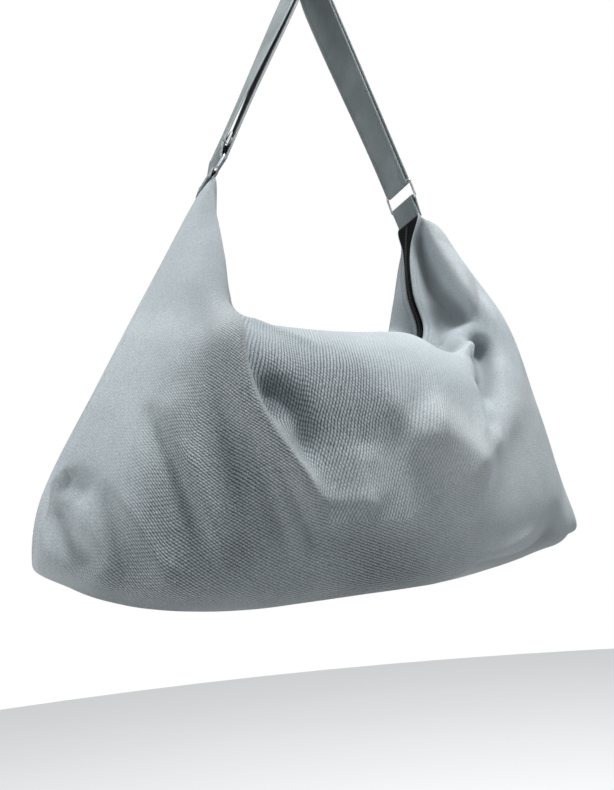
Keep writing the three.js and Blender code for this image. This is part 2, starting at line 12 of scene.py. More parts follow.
import bmesh
import bpy
import numpy as np
from mathutils import Matrix, Vector


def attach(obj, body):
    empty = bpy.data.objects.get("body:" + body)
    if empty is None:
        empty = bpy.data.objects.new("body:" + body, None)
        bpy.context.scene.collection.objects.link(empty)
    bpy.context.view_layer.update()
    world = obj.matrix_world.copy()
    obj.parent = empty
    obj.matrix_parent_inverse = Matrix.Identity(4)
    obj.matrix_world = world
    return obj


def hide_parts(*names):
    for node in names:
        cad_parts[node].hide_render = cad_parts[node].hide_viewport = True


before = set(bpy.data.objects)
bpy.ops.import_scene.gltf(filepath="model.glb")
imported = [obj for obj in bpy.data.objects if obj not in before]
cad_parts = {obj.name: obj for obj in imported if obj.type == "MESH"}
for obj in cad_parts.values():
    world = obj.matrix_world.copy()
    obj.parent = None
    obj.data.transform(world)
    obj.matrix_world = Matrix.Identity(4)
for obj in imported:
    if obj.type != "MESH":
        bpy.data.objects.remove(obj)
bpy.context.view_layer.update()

BODY = "root"
MM = 0.001
LOG = logging.getLogger("bag")


class Side(Enum):
    """The two panels of the bag."""

    FRONT = -1
    BACK = 1


class Hand(Enum):
    """The bag's two peaks."""

    LEFT = "left"
    RIGHT = "right"


# Shape helpers


def smooth_step(t: np.ndarray) -> np.ndarray:
    """Zero to one with flat ends."""
    s = np.clip(t, 0.0, 1.0)
    return s * s * (3 - 2 * s)


def smooth_through(places: Sequence[float], values: np.ndarray, at: np.ndarray) -> np.ndarray:
    """Smooth curves through values at rising places, sloped like a parabola through neighbours.

    Args:
        places: The K rising places.
        values: K values, or K rows of values.
        at: The M places that are asked for.

    Returns:
        M values, or M rows of values.
    """
    places = np.asarray(places, float)
    values = np.asarray(values, float)
    flat = values.reshape(len(places), -1)
    gaps = np.diff(places)[:, None]
    rise = np.diff(flat, axis=0) / gaps
    inner = (rise[:-1] * gaps[1:] + rise[1:] * gaps[:-1]) / (gaps[:-1] + gaps[1:])
    slope = np.concatenate([rise[:1], inner, rise[-1:]])
    t = np.clip(np.asarray(at, float), places[0], places[-1])
    i = np.clip(np.searchsorted(places, t, side="right") - 1, 0, len(places) - 2)
    h = gaps[i]
    s = (t - places[i])[:, None] / h
    result = ((2 * s**3 - 3 * s**2 + 1) * flat[i] + (s**3 - 2 * s**2 + s) * h * slope[i]
              + (3 * s**2 - 2 * s**3) * flat[i + 1] + (s**3 - s**2) * h * slope[i + 1])
    return result.reshape((len(t),) + values.shape[1:])


def linked(name: str, data: bpy.types.ID) -> bpy.types.Object:
    """A new object in the scene.

    Args:
        name: Its name.
        data: Its mesh, curve, lamp or camera.

    Returns:
        The linked object.
    """
    made = bpy.data.objects.new(name, data)
    bpy.context.scene.collection.objects.link(made)
    return made


def dress(made: bpy.types.Object, material: bpy.types.Material, node: str | None = None) -> None:
    """Finishes a piece.

    Args:
        made: The piece.
        material: What it is made of.
        node: The CAD node that it replaces, if it replaces one.
    """
    made.data.materials.clear()
    made.data.materials.append(material)
    if node is not None:
        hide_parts(node)


def tube_faces(rows: int, around: int, is_ring: bool = False) -> list[tuple[int, ...]]:
    """Faces of a tube of points, row after row.

    Args:
        rows: How many rows it has.
        around: How many points a row has.
        is_ring: Whether the last row meets the first. Otherwise both ends are closed.

    Returns:
        Point numbers of each face.
    """
    faces = []
    for i in range(rows if is_ring else rows - 1):
        here, there = i * around, (i + 1) % rows * around
        for k in range(around):
            after = (k + 1) % around
            faces.append((here + k, here + after, there + after, there + k))
    if not is_ring:
        faces.append(tuple(range(around))[::-1])
        faces.append(tuple((rows - 1) * around + k for k in range(around)))
    return faces


def grid_faces(number: np.ndarray) -> np.ndarray:
    """Faces of a grid of point numbers."""
    corners = (number[:-1, :-1], number[1:, :-1], number[1:, 1:], number[:-1, 1:])
    return np.stack(corners, axis=-1).reshape(-1, 4)


def run_length(points: np.ndarray, axis: int = 0) -> np.ndarray:
    """How far points lie along their lines.

    Args:
        points: The points, line beside line.
        axis: The axis that the lines run along.

    Returns:
        One length for each point, from 0 at the first of its line.
    """
    steps = np.linalg.norm(np.diff(points, axis=axis), axis=-1)
    start = np.zeros_like(points.take([0], axis)[..., 0])
    return np.concatenate([start, np.cumsum(steps, axis=axis)], axis=axis)


def unit(vectors: np.ndarray) -> np.ndarray:
    """Vectors, or one, brought to length 1."""
    return vectors / np.linalg.norm(vectors, axis=-1, keepdims=True)


def quarter_turn(ways: np.ndarray) -> np.ndarray:
    """Directions in the XZ plane, or one, turned left by a quarter turn."""
    return np.stack([-ways[..., 1], ways[..., 0]], axis=-1)


def mesh_object(name: str, points: np.ndarray, faces: Iterable[Sequence[int]]) -> bpy.types.Object:
    """A smooth mesh object from points in metres.

    Args:
        name: The piece's name.
        points: Rows of x, y and z.
        faces: Rows of point numbers.

    Returns:
        The linked object, which rides on the bag.
    """
    mesh = bpy.data.meshes.new(name)
    mesh.from_pydata([tuple(p) for p in points], [], [tuple(int(k) for k in f) for f in faces])
    mesh.update()
    mesh.polygons.foreach_set("use_smooth", [True] * len(mesh.polygons))
    made = linked(name, mesh)
    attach(made, BODY)
    return made


def add_uv(made: bpy.types.Object, corners: np.ndarray) -> None:
    """Gives a mesh its UV map, in metres of flat cloth, from one pair for each face corner."""
    layer = made.data.uv_layers.new(name="cloth")
    layer.data.foreach_set("uv", np.asarray(corners, np.float32).ravel())


def add_number(made: bpy.types.Object, name: str, values: np.ndarray) -> None:
    """Gives a mesh a named number at each of its points."""
    layer = made.data.attributes.new(name, "FLOAT", "POINT")
    layer.data.foreach_set("value", np.asarray(values, np.float32).ravel())


def corner_points(made: bpy.types.Object) -> np.ndarray:
    """Which point each face corner is.

    Args:
        made: A mesh object.

    Returns:
        One point number for each corner.
    """
    numbers = np.zeros(len(made.data.loops), np.int32)
    made.data.loops.foreach_get("vertex_index", numbers)
    return numbers


# Shader helpers

Number = Union["Value", float, int]


class Value:
    """A number that varies over a surface: one socket, with arithmetic."""

    def __init__(self, shader: "Shader", socket: bpy.types.NodeSocket) -> None:
        """Wraps an output socket of a shader."""
        self.shader = shader
        self.socket = socket

    def math(self, operation: str, *numbers: Number) -> "Value":
        """One Math node.

        Args:
            operation: The node's operation.
            numbers: Its inputs, in order.

        Returns:
            The node's result.
        """
        made = self.shader.node("ShaderNodeMath", {"operation": operation}, dict(enumerate(numbers)))
        return Value(self.shader, made.outputs[0])

    def __add__(self, other: Number) -> "Value":
        """Sum."""
        return self.math("ADD", self, other)

    __radd__ = __add__

    def __mul__(self, other: Number) -> "Value":
        """Product."""
        return self.math("MULTIPLY", self, other)

    __rmul__ = __mul__

    def __sub__(self, other: Number) -> "Value":
        """Difference."""
        return self.math("SUBTRACT", self, other)

    def __rsub__(self, other: Number) -> "Value":
        """Difference, with the plain number first."""
        return self.math("SUBTRACT", other, self)

    def __truediv__(self, other: Number) -> "Value":
        """Quotient."""
        return self.math("DIVIDE", self, other)

    def __abs__(self) -> "Value":
        """Size without its sign."""
        return self.math("ABSOLUTE", self)

    def sine(self) -> "Value":
        """Sine of an angle in radians."""
        return self.math("SINE", self)

    def fraction(self) -> "Value":
        """What is left above the next lower whole number."""
        return self.math("FRACT", self)

    def between(self, low: float, high: float) -> "Value":
        """A smooth step.

        Args:
            low: Where it starts.
            high: Where it ends.

        Returns:
            Zero below low, one above high, and smooth between.
        """
        made = self.shader.node(
            "ShaderNodeMapRange",
            {"interpolation_type": "SMOOTHSTEP"},
            {"Value": self, "From Min": low, "From Max": high},
        )
        return Value(self.shader, made.outputs["Result"])


class Shader:
    """The node tree of a material or a world, and the nodes that the finishes share."""

    def __init__(self, owner: bpy.types.Material | bpy.types.World) -> None:
        """Starts an empty tree.

        Args:
            owner: The material or world that the tree belongs to.
        """
        self.owner = owner
        owner.use_nodes = True
        self.tree = owner.node_tree
        self.tree.nodes.clear()

    def node(self, kind: str, settings: dict | None = None, sockets: dict | None = None) -> bpy.types.Node:
        """Any node.

        Args:
            kind: The node's type.
            settings: Its properties.
            sockets: Values or links of its inputs, by name or number.

        Returns:
            The new node.
        """
        made = self.tree.nodes.new(kind)
        for key, setting in (settings or {}).items():
            setattr(made, key, setting)
        for key, given in (sockets or {}).items():
            if isinstance(given, Value):
                self.tree.links.new(given.socket, made.inputs[key])
            elif isinstance(given, bpy.types.NodeSocket):
                self.tree.links.new(given, made.inputs[key])
            else:
                made.inputs[key].default_value = given
        return made

    def number(self, name: str) -> Value:
        """A number that the mesh carries at its points."""
        return Value(self, self.node("ShaderNodeAttribute", {"attribute_name": name}).outputs["Fac"])

    def parts(self, vector: bpy.types.NodeSocket) -> tuple[Value, Value, Value]:
        """A vector's three numbers."""
        split = self.node("ShaderNodeSeparateXYZ", {}, {0: vector})
        return tuple(Value(self, out) for out in split.outputs)

    def cloth(self) -> tuple[Value, Value]:
        """The place in the flat cloth, in metres."""
        return self.parts(self.node("ShaderNodeUVMap", {"uv_map": "cloth"}).outputs["UV"])[:2]

    def place(self) -> bpy.types.NodeSocket:
        """The point's own coordinates."""
        return self.node("ShaderNodeTexCoord").outputs["Object"]

    def noise(self, vector: bpy.types.NodeSocket, scale: float, detail: float = 3.0) -> Value:
        """Soft random numbers, mostly between 0.3 and 0.7."""
        made = self.node("ShaderNodeTexNoise", {}, {"Vector": vector, "Scale": scale, "Detail": detail})
        return Value(self, made.outputs["Fac"])

    def stretched(self, vector: bpy.types.NodeSocket, by: tuple[float, float, float],
                  turn: tuple[float, float, float] = (0, 0, 0)) -> bpy.types.NodeSocket:
        """Coordinates after a turn and a scale along each axis."""
        sockets = {"Vector": vector, "Rotation": turn, "Scale": by}
        return self.node("ShaderNodeMapping", {}, sockets).outputs[0]

    def blend(self, share: Number, first: object, second: object) -> bpy.types.NodeSocket:
        """A Mix node on colours.

        Args:
            share: How much of the second colour shows.
            first: A colour or a link.
            second: A colour or a link.

        Returns:
            The mixed colour.
        """
        made = self.node("ShaderNodeMix", {"data_type": "RGBA"}, {0: share, 6: first, 7: second})
        return made.outputs[2]

    def bump(self, height: Value, depth: float, under: object = None) -> bpy.types.NodeSocket:
        """A Bump node, over another one if given.

        Args:
            height: How high the surface stands.
            depth: How many metres a height of 1 is.
            under: The other Bump node's result.

        Returns:
            The bumped normal.
        """
        sockets = {"Height": height, "Distance": depth, "Strength": 1.0}
        if under is not None:
            sockets["Normal"] = under
        return self.node("ShaderNodeBump", {}, sockets).outputs[0]

    def finish(self, **sockets: object) -> bpy.types.Material:
        """Ends the tree in a Principled shader.

        Args:
            sockets: The shader's inputs, with spaces written as underscores.

        Returns:
            The finished material.
        """
        named = {key.replace("_", " "): given for key, given in sockets.items()}
        shader = self.node("ShaderNodeBsdfPrincipled", {}, named)
        self.node("ShaderNodeOutputMaterial", {}, {"Surface": shader.outputs[0]})
        return self.owner


Colour = tuple[float, float, float, float]


# Finishes


@dataclass(frozen=True)
class CanvasFinish:
    """Grey twill canvas, worn pale along its folds, with painted shade in its hollows and between its ribs.

    A share is how much of one colour lies over another, and a wander is a noise's scale with
    how far it bends the ribs. Noise scales are per metre.
    """

    light: Colour = (0.645, 0.715, 0.745, 1)
    deep: Colour = (0.545, 0.615, 0.648, 1)
    worn: Colour = (0.72, 0.77, 0.79, 1)
    # Colour of the painted shade in hollows and between ribs, and of the random fuzz specks.
    gap: Colour = (0.09, 0.11, 0.125, 1)
    rib_pitch: float = 2.15 * MM
    twist_pitch: float = 2.6 * MM
    rib_turn: float = math.radians(30)
    rib_height: float = 0.6 * MM
    rib_wander: tuple[tuple[float, float], ...] = ((90, 1.5), (560, 4.6))
    twist_depth: float = 0.34
    yarn_pitch: float = 0.9 * MM
    yarn_height: float = 0.15 * MM
    pucker_height: float = 0.9 * MM
    pucker_scale: float = 26
    patch_scale: float = 14
    fuzz_scale: float = 700
    stitch_inset: float = 6 * MM
    stitch_length: float = 3.4 * MM
    stitch_width: float = 0.9 * MM
    worn_share: float = 0.6
    hollow_shade_share: float = 0.42
    groove_shade_share: float = 0.9
    fuzz_share: float = 0.22
    stitch_share: float = 0.5

    def ribs(self, shader: Shader, across: Value, along: Value) -> Value:
        """Twill ribs with a step at each turn of the yarn.

        Args:
            shader: The material's shader.
            across: The place across the flat cloth.
            along: The place along it.

        Returns:
            A height from 0 between two ribs to 1 on a rib.
        """
        fast, slow = math.tau / self.rib_pitch, math.tau / self.twist_pitch
        c, s = math.cos(self.rib_turn), math.sin(self.rib_turn)
        wander = sum(shader.noise(shader.place(), scale, 2) * bend for scale, bend in self.rib_wander)
        line = across * (c * fast) + along * (s * fast) + wander
        steps = along * (c * slow) - across * (s * slow) + line * 0.5
        return (line.sine() * 0.5 + 0.5) * (steps.sine() * self.twist_depth + (1 - self.twist_depth))

    def yarn(self, across: Value, along: Value) -> Value:
        """The bumps of single yarns, from -1 to 1."""
        turns = math.tau / self.yarn_pitch
        return (across * turns).sine() * (along * turns).sine()

    def stitches(self, distance: Value, along: Value, inset: float) -> Value:
        """A row of stitches beside an edge.

        Args:
            distance: How far the point is from the edge.
            along: The place along the edge.
            inset: How far the row is from the edge.

        Returns:
            A number from 0 beside a stitch to 1 on it.
        """
        beside = abs(distance - inset)
        row = 1 - beside.between(self.stitch_width * 0.35, self.stitch_width * 0.75)
        dash = abs((along / self.stitch_length).fraction() - 0.5)
        return row * (1 - dash.between(0.30, 0.42))

    def material(self) -> bpy.types.Material:
        """The canvas of the bag's body.

        Returns:
            The finished material.
        """
        shader = Shader(bpy.data.materials.new("canvas"))
        place = shader.place()
        across, along = shader.cloth()
        crest = shader.number("crest")
        from_mouth = shader.number("from_mouth")
        show = (shader.noise(place, 6.0, 2).between(0.34, 0.56) * 0.4 + 0.6) * shader.number("ribbed")
        twill = self.ribs(shader, across, along)
        yarn = self.yarn(across, along)
        fuzz = shader.noise(place, self.fuzz_scale, 3)
        patch = shader.noise(place, self.patch_scale, 4)
        pucker = shader.noise(shader.stretched(place, (1.0, 0.8, 0.45), (0, 0.35, 0)), self.pucker_scale, 3)
        stitch = self.stitches(from_mouth, across + along, self.stitch_inset)
        cloth = shader.blend(patch.between(0.35, 0.68), self.deep, self.light)
        cloth = shader.blend(crest.between(0.15, 1.0) * self.worn_share, cloth, self.worn)
        # Painted shade: the cloth is darkened where the folds sink it into hollows.
        cloth = shader.blend((0 - crest).between(0.1, 1.5) * self.hollow_shade_share, cloth, self.gap)
        # Painted shade in the grooves between the twill ribs, plus random dark fuzz specks.
        gaps = (1 - twill) * (1 - twill) * show * self.groove_shade_share
        cloth = shader.blend(gaps + (1 - fuzz.between(0.3, 0.7)) * self.fuzz_share, cloth, self.gap)
        cloth = shader.blend(stitch * self.stitch_share, cloth, self.worn)
        normal = shader.bump(pucker, self.pucker_height)
        normal = shader.bump(twill * show + stitch * 2.0, self.rib_height, normal)
        normal = shader.bump(yarn + fuzz, self.yarn_height, normal)
        rough = 0.84 + patch * 0.12
        return shader.finish(Base_Color=cloth, Roughness=rough, Normal=normal,
                             Sheen_Weight=0.25, Sheen_Roughness=0.5, Specular_IOR_Level=0.25)


@dataclass(frozen=True)
class StrapFinish:
    """Doubled canvas with a row of topstitching near each edge, and painted shade between its ribs.

    The girth is measured round the strap from one edge of its upper face, and each face with
    one edge beside it is half of it.
    """

    light: Colour = (0.42, 0.475, 0.49, 1)
    deep: Colour = (0.29, 0.345, 0.355, 1)
    # Colour of the painted shade between ribs, and of the random fuzz specks.
    gap: Colour = (0.10, 0.125, 0.13, 1)
    thread: Colour = (0.55, 0.59, 0.60, 1)
    half_girth: float = 39.0 * MM
    edge_girth: float = 3.8 * MM
    stitch_inset: float = 2.6 * MM
    seam_reach: tuple[float, float] = (0.4 * MM, 2.2 * MM)
    worn_reach: tuple[float, float] = (-0.6 * MM, 1.0 * MM)
    dent_height: float = 0.5 * MM
    patch_scale: float = 22
    fuzz_scale: float = 1400
    dent_scale: float = 45
    groove_shade_share: float = 0.16

    def material(self) -> bpy.types.Material:
        """The cloth of the strap and the tabs.

        Returns:
            The finished material.
        """
        shader = Shader(bpy.data.materials.new("strap_cloth"))
        canvas = CanvasFinish()
        place = shader.place()
        along, around = shader.cloth()
        side = ((around + self.edge_girth / 2) / self.half_girth).fraction()
        edge = (0.5 - abs(side - 0.5)) * self.half_girth - self.edge_girth / 2
        ribs = canvas.ribs(shader, around, along)
        yarn = canvas.yarn(around, along)
        fuzz = shader.noise(place, self.fuzz_scale, 4)
        patch = shader.noise(place, self.patch_scale, 4)
        stitch = canvas.stitches(edge, along, self.stitch_inset)
        seam = 1 - abs(edge - self.stitch_inset).between(*self.seam_reach)
        cloth = shader.blend(patch.between(0.35, 0.68), self.deep, self.light)
        cloth = shader.blend((1 - edge.between(*self.worn_reach)) * 0.5, cloth, canvas.worn)
        # Painted shade in the grooves between the ribs, plus random dark fuzz specks at the same share.
        gaps = (1 - ribs) * self.groove_shade_share + (1 - fuzz.between(0.3, 0.7)) * self.groove_shade_share
        cloth = shader.blend(gaps, cloth, self.gap)
        cloth = shader.blend(stitch * 0.6, cloth, self.thread)
        normal = shader.bump(shader.noise(place, self.dent_scale, 3), self.dent_height)
        normal = shader.bump(ribs + stitch * 2.2 - seam * 1.4, canvas.rib_height, normal)
        normal = shader.bump(yarn + fuzz, canvas.yarn_height, normal)
        return shader.finish(Base_Color=cloth, Roughness=0.82 + patch * 0.12, Normal=normal,
                             Sheen_Weight=0.2, Sheen_Roughness=0.5, Specular_IOR_Level=0.25)


@dataclass(frozen=True)
class ZipFinish:
    """Black woven zip tape and its moulded coil."""

    tape: Colour = (0.005, 0.0055, 0.006, 1)
    lint: Colour = (0.02, 0.021, 0.023, 1)
    coil: Colour = (0.02, 0.021, 0.023, 1)
    weft_pitch: float = 1.1 * MM
    warp_pitch: float = 0.8 * MM
    rib_height: float = 0.12 * MM
    scuff_height: float = 0.03 * MM

    def tape_material(self) -> bpy.types.Material:
        """Ribbed black tape with a little lint.

        Returns:
            The finished material.
        """
        shader = Shader(bpy.data.materials.new("zip_cloth"))
        place = shader.place()
        along, around = shader.cloth()
        rib = ((around * (math.tau / self.weft_pitch)).sine() * 0.5
               + (along * (math.tau / self.warp_pitch)).sine() * 0.5)
        lint = shader.noise(place, 420, 4).between(0.52, 0.75)
        cloth = shader.blend(lint, self.tape, self.lint)
        return shader.finish(Base_Color=cloth, Roughness=0.78 + lint * 0.12,
                             Normal=shader.bump(rib, self.rib_height), Specular_IOR_Level=0.1)

    def coil_material(self) -> bpy.types.Material:
        """Smooth dark plastic with fine scuffs.

        Returns:
            The finished material.
        """
        shader = Shader(bpy.data.materials.new("zip_coil"))
        scuff = shader.noise(shader.place(), 900, 3)
        return shader.finish(Base_Color=shader.blend(scuff.between(0.5, 0.7) * 0.5, self.coil, self.lint),
                             Roughness=0.38 + scuff * 0.2, Normal=shader.bump(scuff, self.scuff_height))


@dataclass(frozen=True)
class SteelFinish:
    """Bright plated steel with fine scratches and dull spots."""

    bright: Colour = (0.66, 0.67, 0.69, 1)
    dull: Colour = (0.40, 0.41, 0.43, 1)
    scratch_height: float = 0.02 * MM

    def material(self) -> bpy.types.Material:
        """The metal of the rings, the sliders and the pull.

        Returns:
            The finished material.
        """
        shader = Shader(bpy.data.materials.new("steel"))
        place = shader.place()
        scratch = shader.noise(shader.stretched(place, (1, 9, 1)), 700, 3)
        spot = shader.noise(place, 160, 4)
        metal = shader.blend(spot.between(0.45, 0.75) * 0.6, self.bright, self.dull)
        rough = 0.16 + spot.between(0.4, 0.8) * 0.22 + scratch.between(0.5, 0.7) * 0.08
        return shader.finish(Base_Color=metal, Roughness=rough, Metallic=1.0,
                             Normal=shader.bump(scratch, self.scratch_height))


@dataclass(frozen=True)
class FloorFinish:
    """Plain pale studio floor."""

    tint: Colour = (0.93, 0.93, 0.925, 1)
    shade: Colour = (0.90, 0.90, 0.895, 1)

    def material(self) -> bpy.types.Material:
        """Matt board with faint clouding.

        Returns:
            The finished material.
        """
        shader = Shader(bpy.data.materials.new("floor"))
        cloud = shader.noise(shader.place(), 1.5, 3)
        board = shader.blend(cloud, self.shade, self.tint)
        return shader.finish(Base_Color=board, Roughness=0.75 + cloud * 0.1)


# Bag body


@dataclass(frozen=True)
class Section:
    """One line of cloth from the mouth's edge over the roll and down to the middle of the bottom.

    x is in shares of the half width, y of the half depth, z of the body's height below the
    right peak. A bow moves the panel's upper or lower part sideways, and the back's roll
    stands apart from the front's by the last two fields.
    """

    u: float
    mouth_x: float
    mouth_y: float
    mouth_z: float
    roll_x: float
    roll_y: float
    roll_z: float
    belly_y: float
    hem_x: float
    hem_z: float
    high_bow: float
    low_bow: float
    back_roll_x: float
    back_roll_z: float


SECTIONS = (
    Section(-1.00, -0.464, 0.00, 0.022, -0.503, 0.00, 0.064, 0.00, -0.935, 0.872, 0.030, -0.01, 0.00, 0.00),
    Section(-0.95, -0.454, 0.19, 0.023, -0.495, 0.21, 0.063, 0.20, -0.995, 0.893, 0.030, -0.02, 0.00, 0.00),
    Section(-0.86, -0.440, 0.08, 0.120, -0.472, 0.27, 0.135, 0.50, -0.890, 0.938, 0.01, -0.02, 0.02, 0.00),
    Section(-0.72, -0.430, 0.055, 0.230, -0.452, 0.30, 0.240, 0.76, -0.745, 0.975, 0.00, -0.01, 0.04, 0.00),
    Section(-0.52, -0.420, 0.055, 0.360, -0.440, 0.32, 0.364, 0.92, -0.540, 0.998, 0.00, 0.00, 0.06, -0.02),
    Section(-0.38, -0.340, 0.055, 0.440, -0.360, 0.27, 0.390, 0.97, -0.390, 1.003, 0.00, 0.00, 0.05, -0.05),
    Section(-0.20, -0.190, 0.055, 0.475, -0.200, 0.22, 0.394, 1.00, -0.205, 1.000, 0.00, 0.00, 0.02, -0.02),
    Section(0.00, 0.000, 0.055, 0.480, 0.000, 0.22, 0.390, 1.00, 0.000, 0.995, 0.00, 0.00, 0.00, 0.00),
    Section(0.20, 0.180, 0.055, 0.470, 0.190, 0.26, 0.380, 1.00, 0.205, 0.990, 0.00, 0.00, -0.02, -0.02),
    Section(0.38, 0.315, 0.055, 0.430, 0.355, 0.33, 0.374, 0.97, 0.385, 0.980, 0.00, 0.00, -0.08, -0.06),
    Section(0.52, 0.385, 0.055, 0.345, 0.438, 0.34, 0.345, 0.92, 0.535, 0.965, 0.00, 0.00, -0.12, -0.03),
    Section(0.72, 0.362, 0.055, 0.220, 0.455, 0.30, 0.230, 0.77, 0.735, 0.938, 0.01, -0.02, -0.10, 0.00),
    Section(0.86, 0.378, 0.08, 0.095, 0.464, 0.25, 0.105, 0.52, 0.870, 0.905, 0.028, -0.04, -0.05, 0.00),
    Section(0.95, 0.408, 0.19, 0.002, 0.474, 0.21, 0.050, 0.20, 0.988, 0.882, 0.030, -0.05, 0.00, 0.00),
    Section(1.00, 0.414, 0.00, 0.000, 0.476, 0.00, 0.050, 0.00, 0.930, 0.862, 0.030, -0.04, 0.00, 0.00),
)


@dataclass(frozen=True)
class Level:
    """A height of every section below its roll.

    along_x and along_z are the shares of the way from roll to hem, of_belly the share of the
    belly that y reaches, and the last two how much of each bow is felt.
    """

    v: float
    along_x: float
    along_z: float
    of_belly: float
    of_high_bow: float
    of_low_bow: float


LEVELS = (
    Level(0.30, 0.34, 0.23, 0.92, 1.0, 0.0),
    Level(0.52, 0.65, 0.54, 1.01, 0.5, 0.5),
    Level(0.74, 0.93, 0.84, 0.92, 0.0, 1.0),
    Level(0.91, 1.00, 0.985, 0.60, 0.0, 0.3),
    Level(1.00, 1.00, 1.00, 0.00, 0.0, 0.0),
)


@dataclass(frozen=True)
class Fold:
    """A fold of a panel as seen from its front, along a curve from start over pull to end.

    Places are x in shares of the half width and z of the body's height. Rise is in shares of
    the half depth, below zero for a valley. Left and right are its reach to each side in
    shares of the half width, and crisp goes from 0, round, to 1, creased.
    """

    start_x: float
    start_z: float
    pull_x: float
    pull_z: float
    end_x: float
    end_z: float
    rise: float
    left: float
    right: float
    crisp: float = 0.0


FRONT_FOLDS = (
    Fold(-0.50, 0.37, -0.60, 0.68, -0.28, 0.84, 0.24, 0.10, 0.045, 0.6),
    Fold(-0.60, 0.33, -0.61, 0.60, -0.50, 0.90, -0.09, 0.06, 0.05, 0.2),
    Fold(-0.10, 0.56, 0.00, 0.72, 0.12, 0.71, 0.07, 0.065, 0.095, 0.4),
    Fold(0.00, 0.63, 0.15, 0.70, 0.28, 0.78, 0.17, 0.12, 0.10, 0.25),
    Fold(-0.17, 0.70, -0.22, 0.79, -0.14, 0.86, 0.055, 0.05, 0.04, 0.2),
    Fold(-0.72, 0.60, -0.63, 0.63, -0.56, 0.90, 0.03, 0.08, 0.06, 0.15),
    Fold(-0.86, 0.74, -0.86, 0.85, -0.79, 0.98, -0.05, 0.03, 0.05, 0.2),
    Fold(-0.53, 0.66, -0.49, 0.76, -0.40, 0.95, -0.06, 0.03, 0.03, 0.4),
    Fold(0.42, 0.27, 0.30, 0.39, 0.38, 0.45, -0.15, 0.08, 0.065, 0.05),
    Fold(0.42, 0.41, 0.55, 0.38, 0.28, 0.67, -0.22, 0.055, 0.025, 0.2),
    Fold(0.35, 0.54, 0.36, 0.64, 0.30, 0.74, 0.05, 0.025, 0.025, 0.2),
    Fold(0.53, 0.56, 0.28, 0.74, 0.12, 0.96, 0.05, 0.06, 0.05, 0.25),
    Fold(0.71, 0.83, 0.55, 1.06, 0.17, 0.96, -0.12, 0.065, 0.10, 0.0),
    Fold(-0.98, 0.76, -0.96, 0.87, -0.87, 0.92, -0.08, 0.03, 0.035, 0.1),
    Fold(-0.96, 0.74, -0.95, 0.75, -0.87, 0.77, -0.06, 0.055, 0.04, 0.1),
    Fold(-0.75, 0.60, -0.73, 0.72, -0.62, 0.92, -0.065, 0.03, 0.03, 0.4),
    Fold(-0.85, 0.74, -0.77, 0.87, -0.69, 0.96, 0.05, 0.03, 0.03, 0.4),
    Fold(-0.68, 0.66, -0.63, 0.82, -0.56, 0.95, 0.05, 0.03, 0.025, 0.4),
    Fold(-0.48, 0.71, -0.40, 0.82, -0.31, 0.94, -0.06, 0.03, 0.03, 0.4),
    Fold(0.32, 0.53, 0.32, 0.62, 0.23, 0.72, 0.04, 0.025, 0.025, 0.2),
    Fold(0.47, 0.49, 0.38, 0.62, 0.30, 0.68, -0.045, 0.025, 0.025, 0.3),
    Fold(0.52, 0.88, 0.35, 0.94, 0.22, 0.95, 0.03, 0.025, 0.025, 0.6),
    Fold(-0.15, 0.70, -0.13, 0.76, -0.13, 0.83, 0.02, 0.025, 0.03, 0.3),
    Fold(-0.34, 0.81, -0.23, 0.82, -0.14, 0.82, 0.02, 0.03, 0.025, 0.5),
    Fold(-0.47, 0.36, -0.53, 0.59, -0.40, 0.69, -0.17, 0.02, 0.045, 0.4),
    Fold(-0.48, 0.58, -0.35, 0.59, -0.35, 0.78, -0.10, 0.035, 0.05, 0.2),
    Fold(0.40, -0.02, 0.38, 0.20, 0.49, 0.37, -0.24, 0.045, 0.03, 0.3),
    Fold(0.41, 0.00, 0.50, 0.17, 0.55, 0.45, 0.09, 0.03, 0.055, 0.3),
    Fold(0.39, 0.06, 0.37, 0.24, 0.46, 0.30, 0.03, 0.02, 0.02, 0.3),
    Fold(-0.45, 0.40, -0.34, 0.43, -0.20, 0.50, 0.04, 0.02, 0.025, 0.5),
)

BACK_FOLDS = (
    Fold(-0.46, 0.34, -0.46, 0.56, -0.28, 0.74, 0.08, 0.14, 0.050),
    Fold(-0.38, 0.42, -0.38, 0.58, -0.20, 0.74, -0.12, 0.05, 0.160),
    Fold(0.46, 0.32, 0.46, 0.54, 0.28, 0.72, 0.08, 0.05, 0.140),
    Fold(0.38, 0.40, 0.38, 0.56, 0.20, 0.72, -0.12, 0.16, 0.050),
    Fold(-0.05, 0.50, 0.04, 0.56, 0.14, 0.66, 0.04, 0.06, 0.060),
    Fold(0.84, 0.72, 0.80, 0.82, 0.72, 0.90, -0.04, 0.05, 0.050),
    Fold(-0.84, 0.72, -0.80, 0.82, -0.72, 0.90, -0.04, 0.05, 0.050),
)

# The ribs turn where the roll's cloth ends: down the main fold, and along the roll's lower end.
# Each pair is an x in shares of the half width and a z in shares of the body's height.
GRAIN_EDGE = (
    (-0.30, 0.30), (-0.47, 0.365), (-0.49, 0.46), (-0.51, 0.58), (-0.475, 0.68), (-0.40, 0.76), (-0.30, 0.82),
)
GRAIN_FLOOR = ((-0.30, 0.86), (-0.05, 0.86), (0.10, 0.80), (0.30, 0.72), (0.45, 0.60))


@dataclass(frozen=True)
class Fade:
    """A band over which the ribs fade, with x and z in the shares of a fold.

    It starts where x times across plus z times down reaches start, and at its end the ribs
    have lost the share.
    """

    across: float
    down: float
    start: float
    width: float
    share: float


# To the right, high up, and along the left side.
RIB_FADES = (
    Fade(1.0, -0.25, -0.27, 0.45, 0.85),
    Fade(0.0, -1.00, -0.56, 0.14, 0.55),
    Fade(-1.0, -0.60, 0.23, 0.20, 0.80),
)


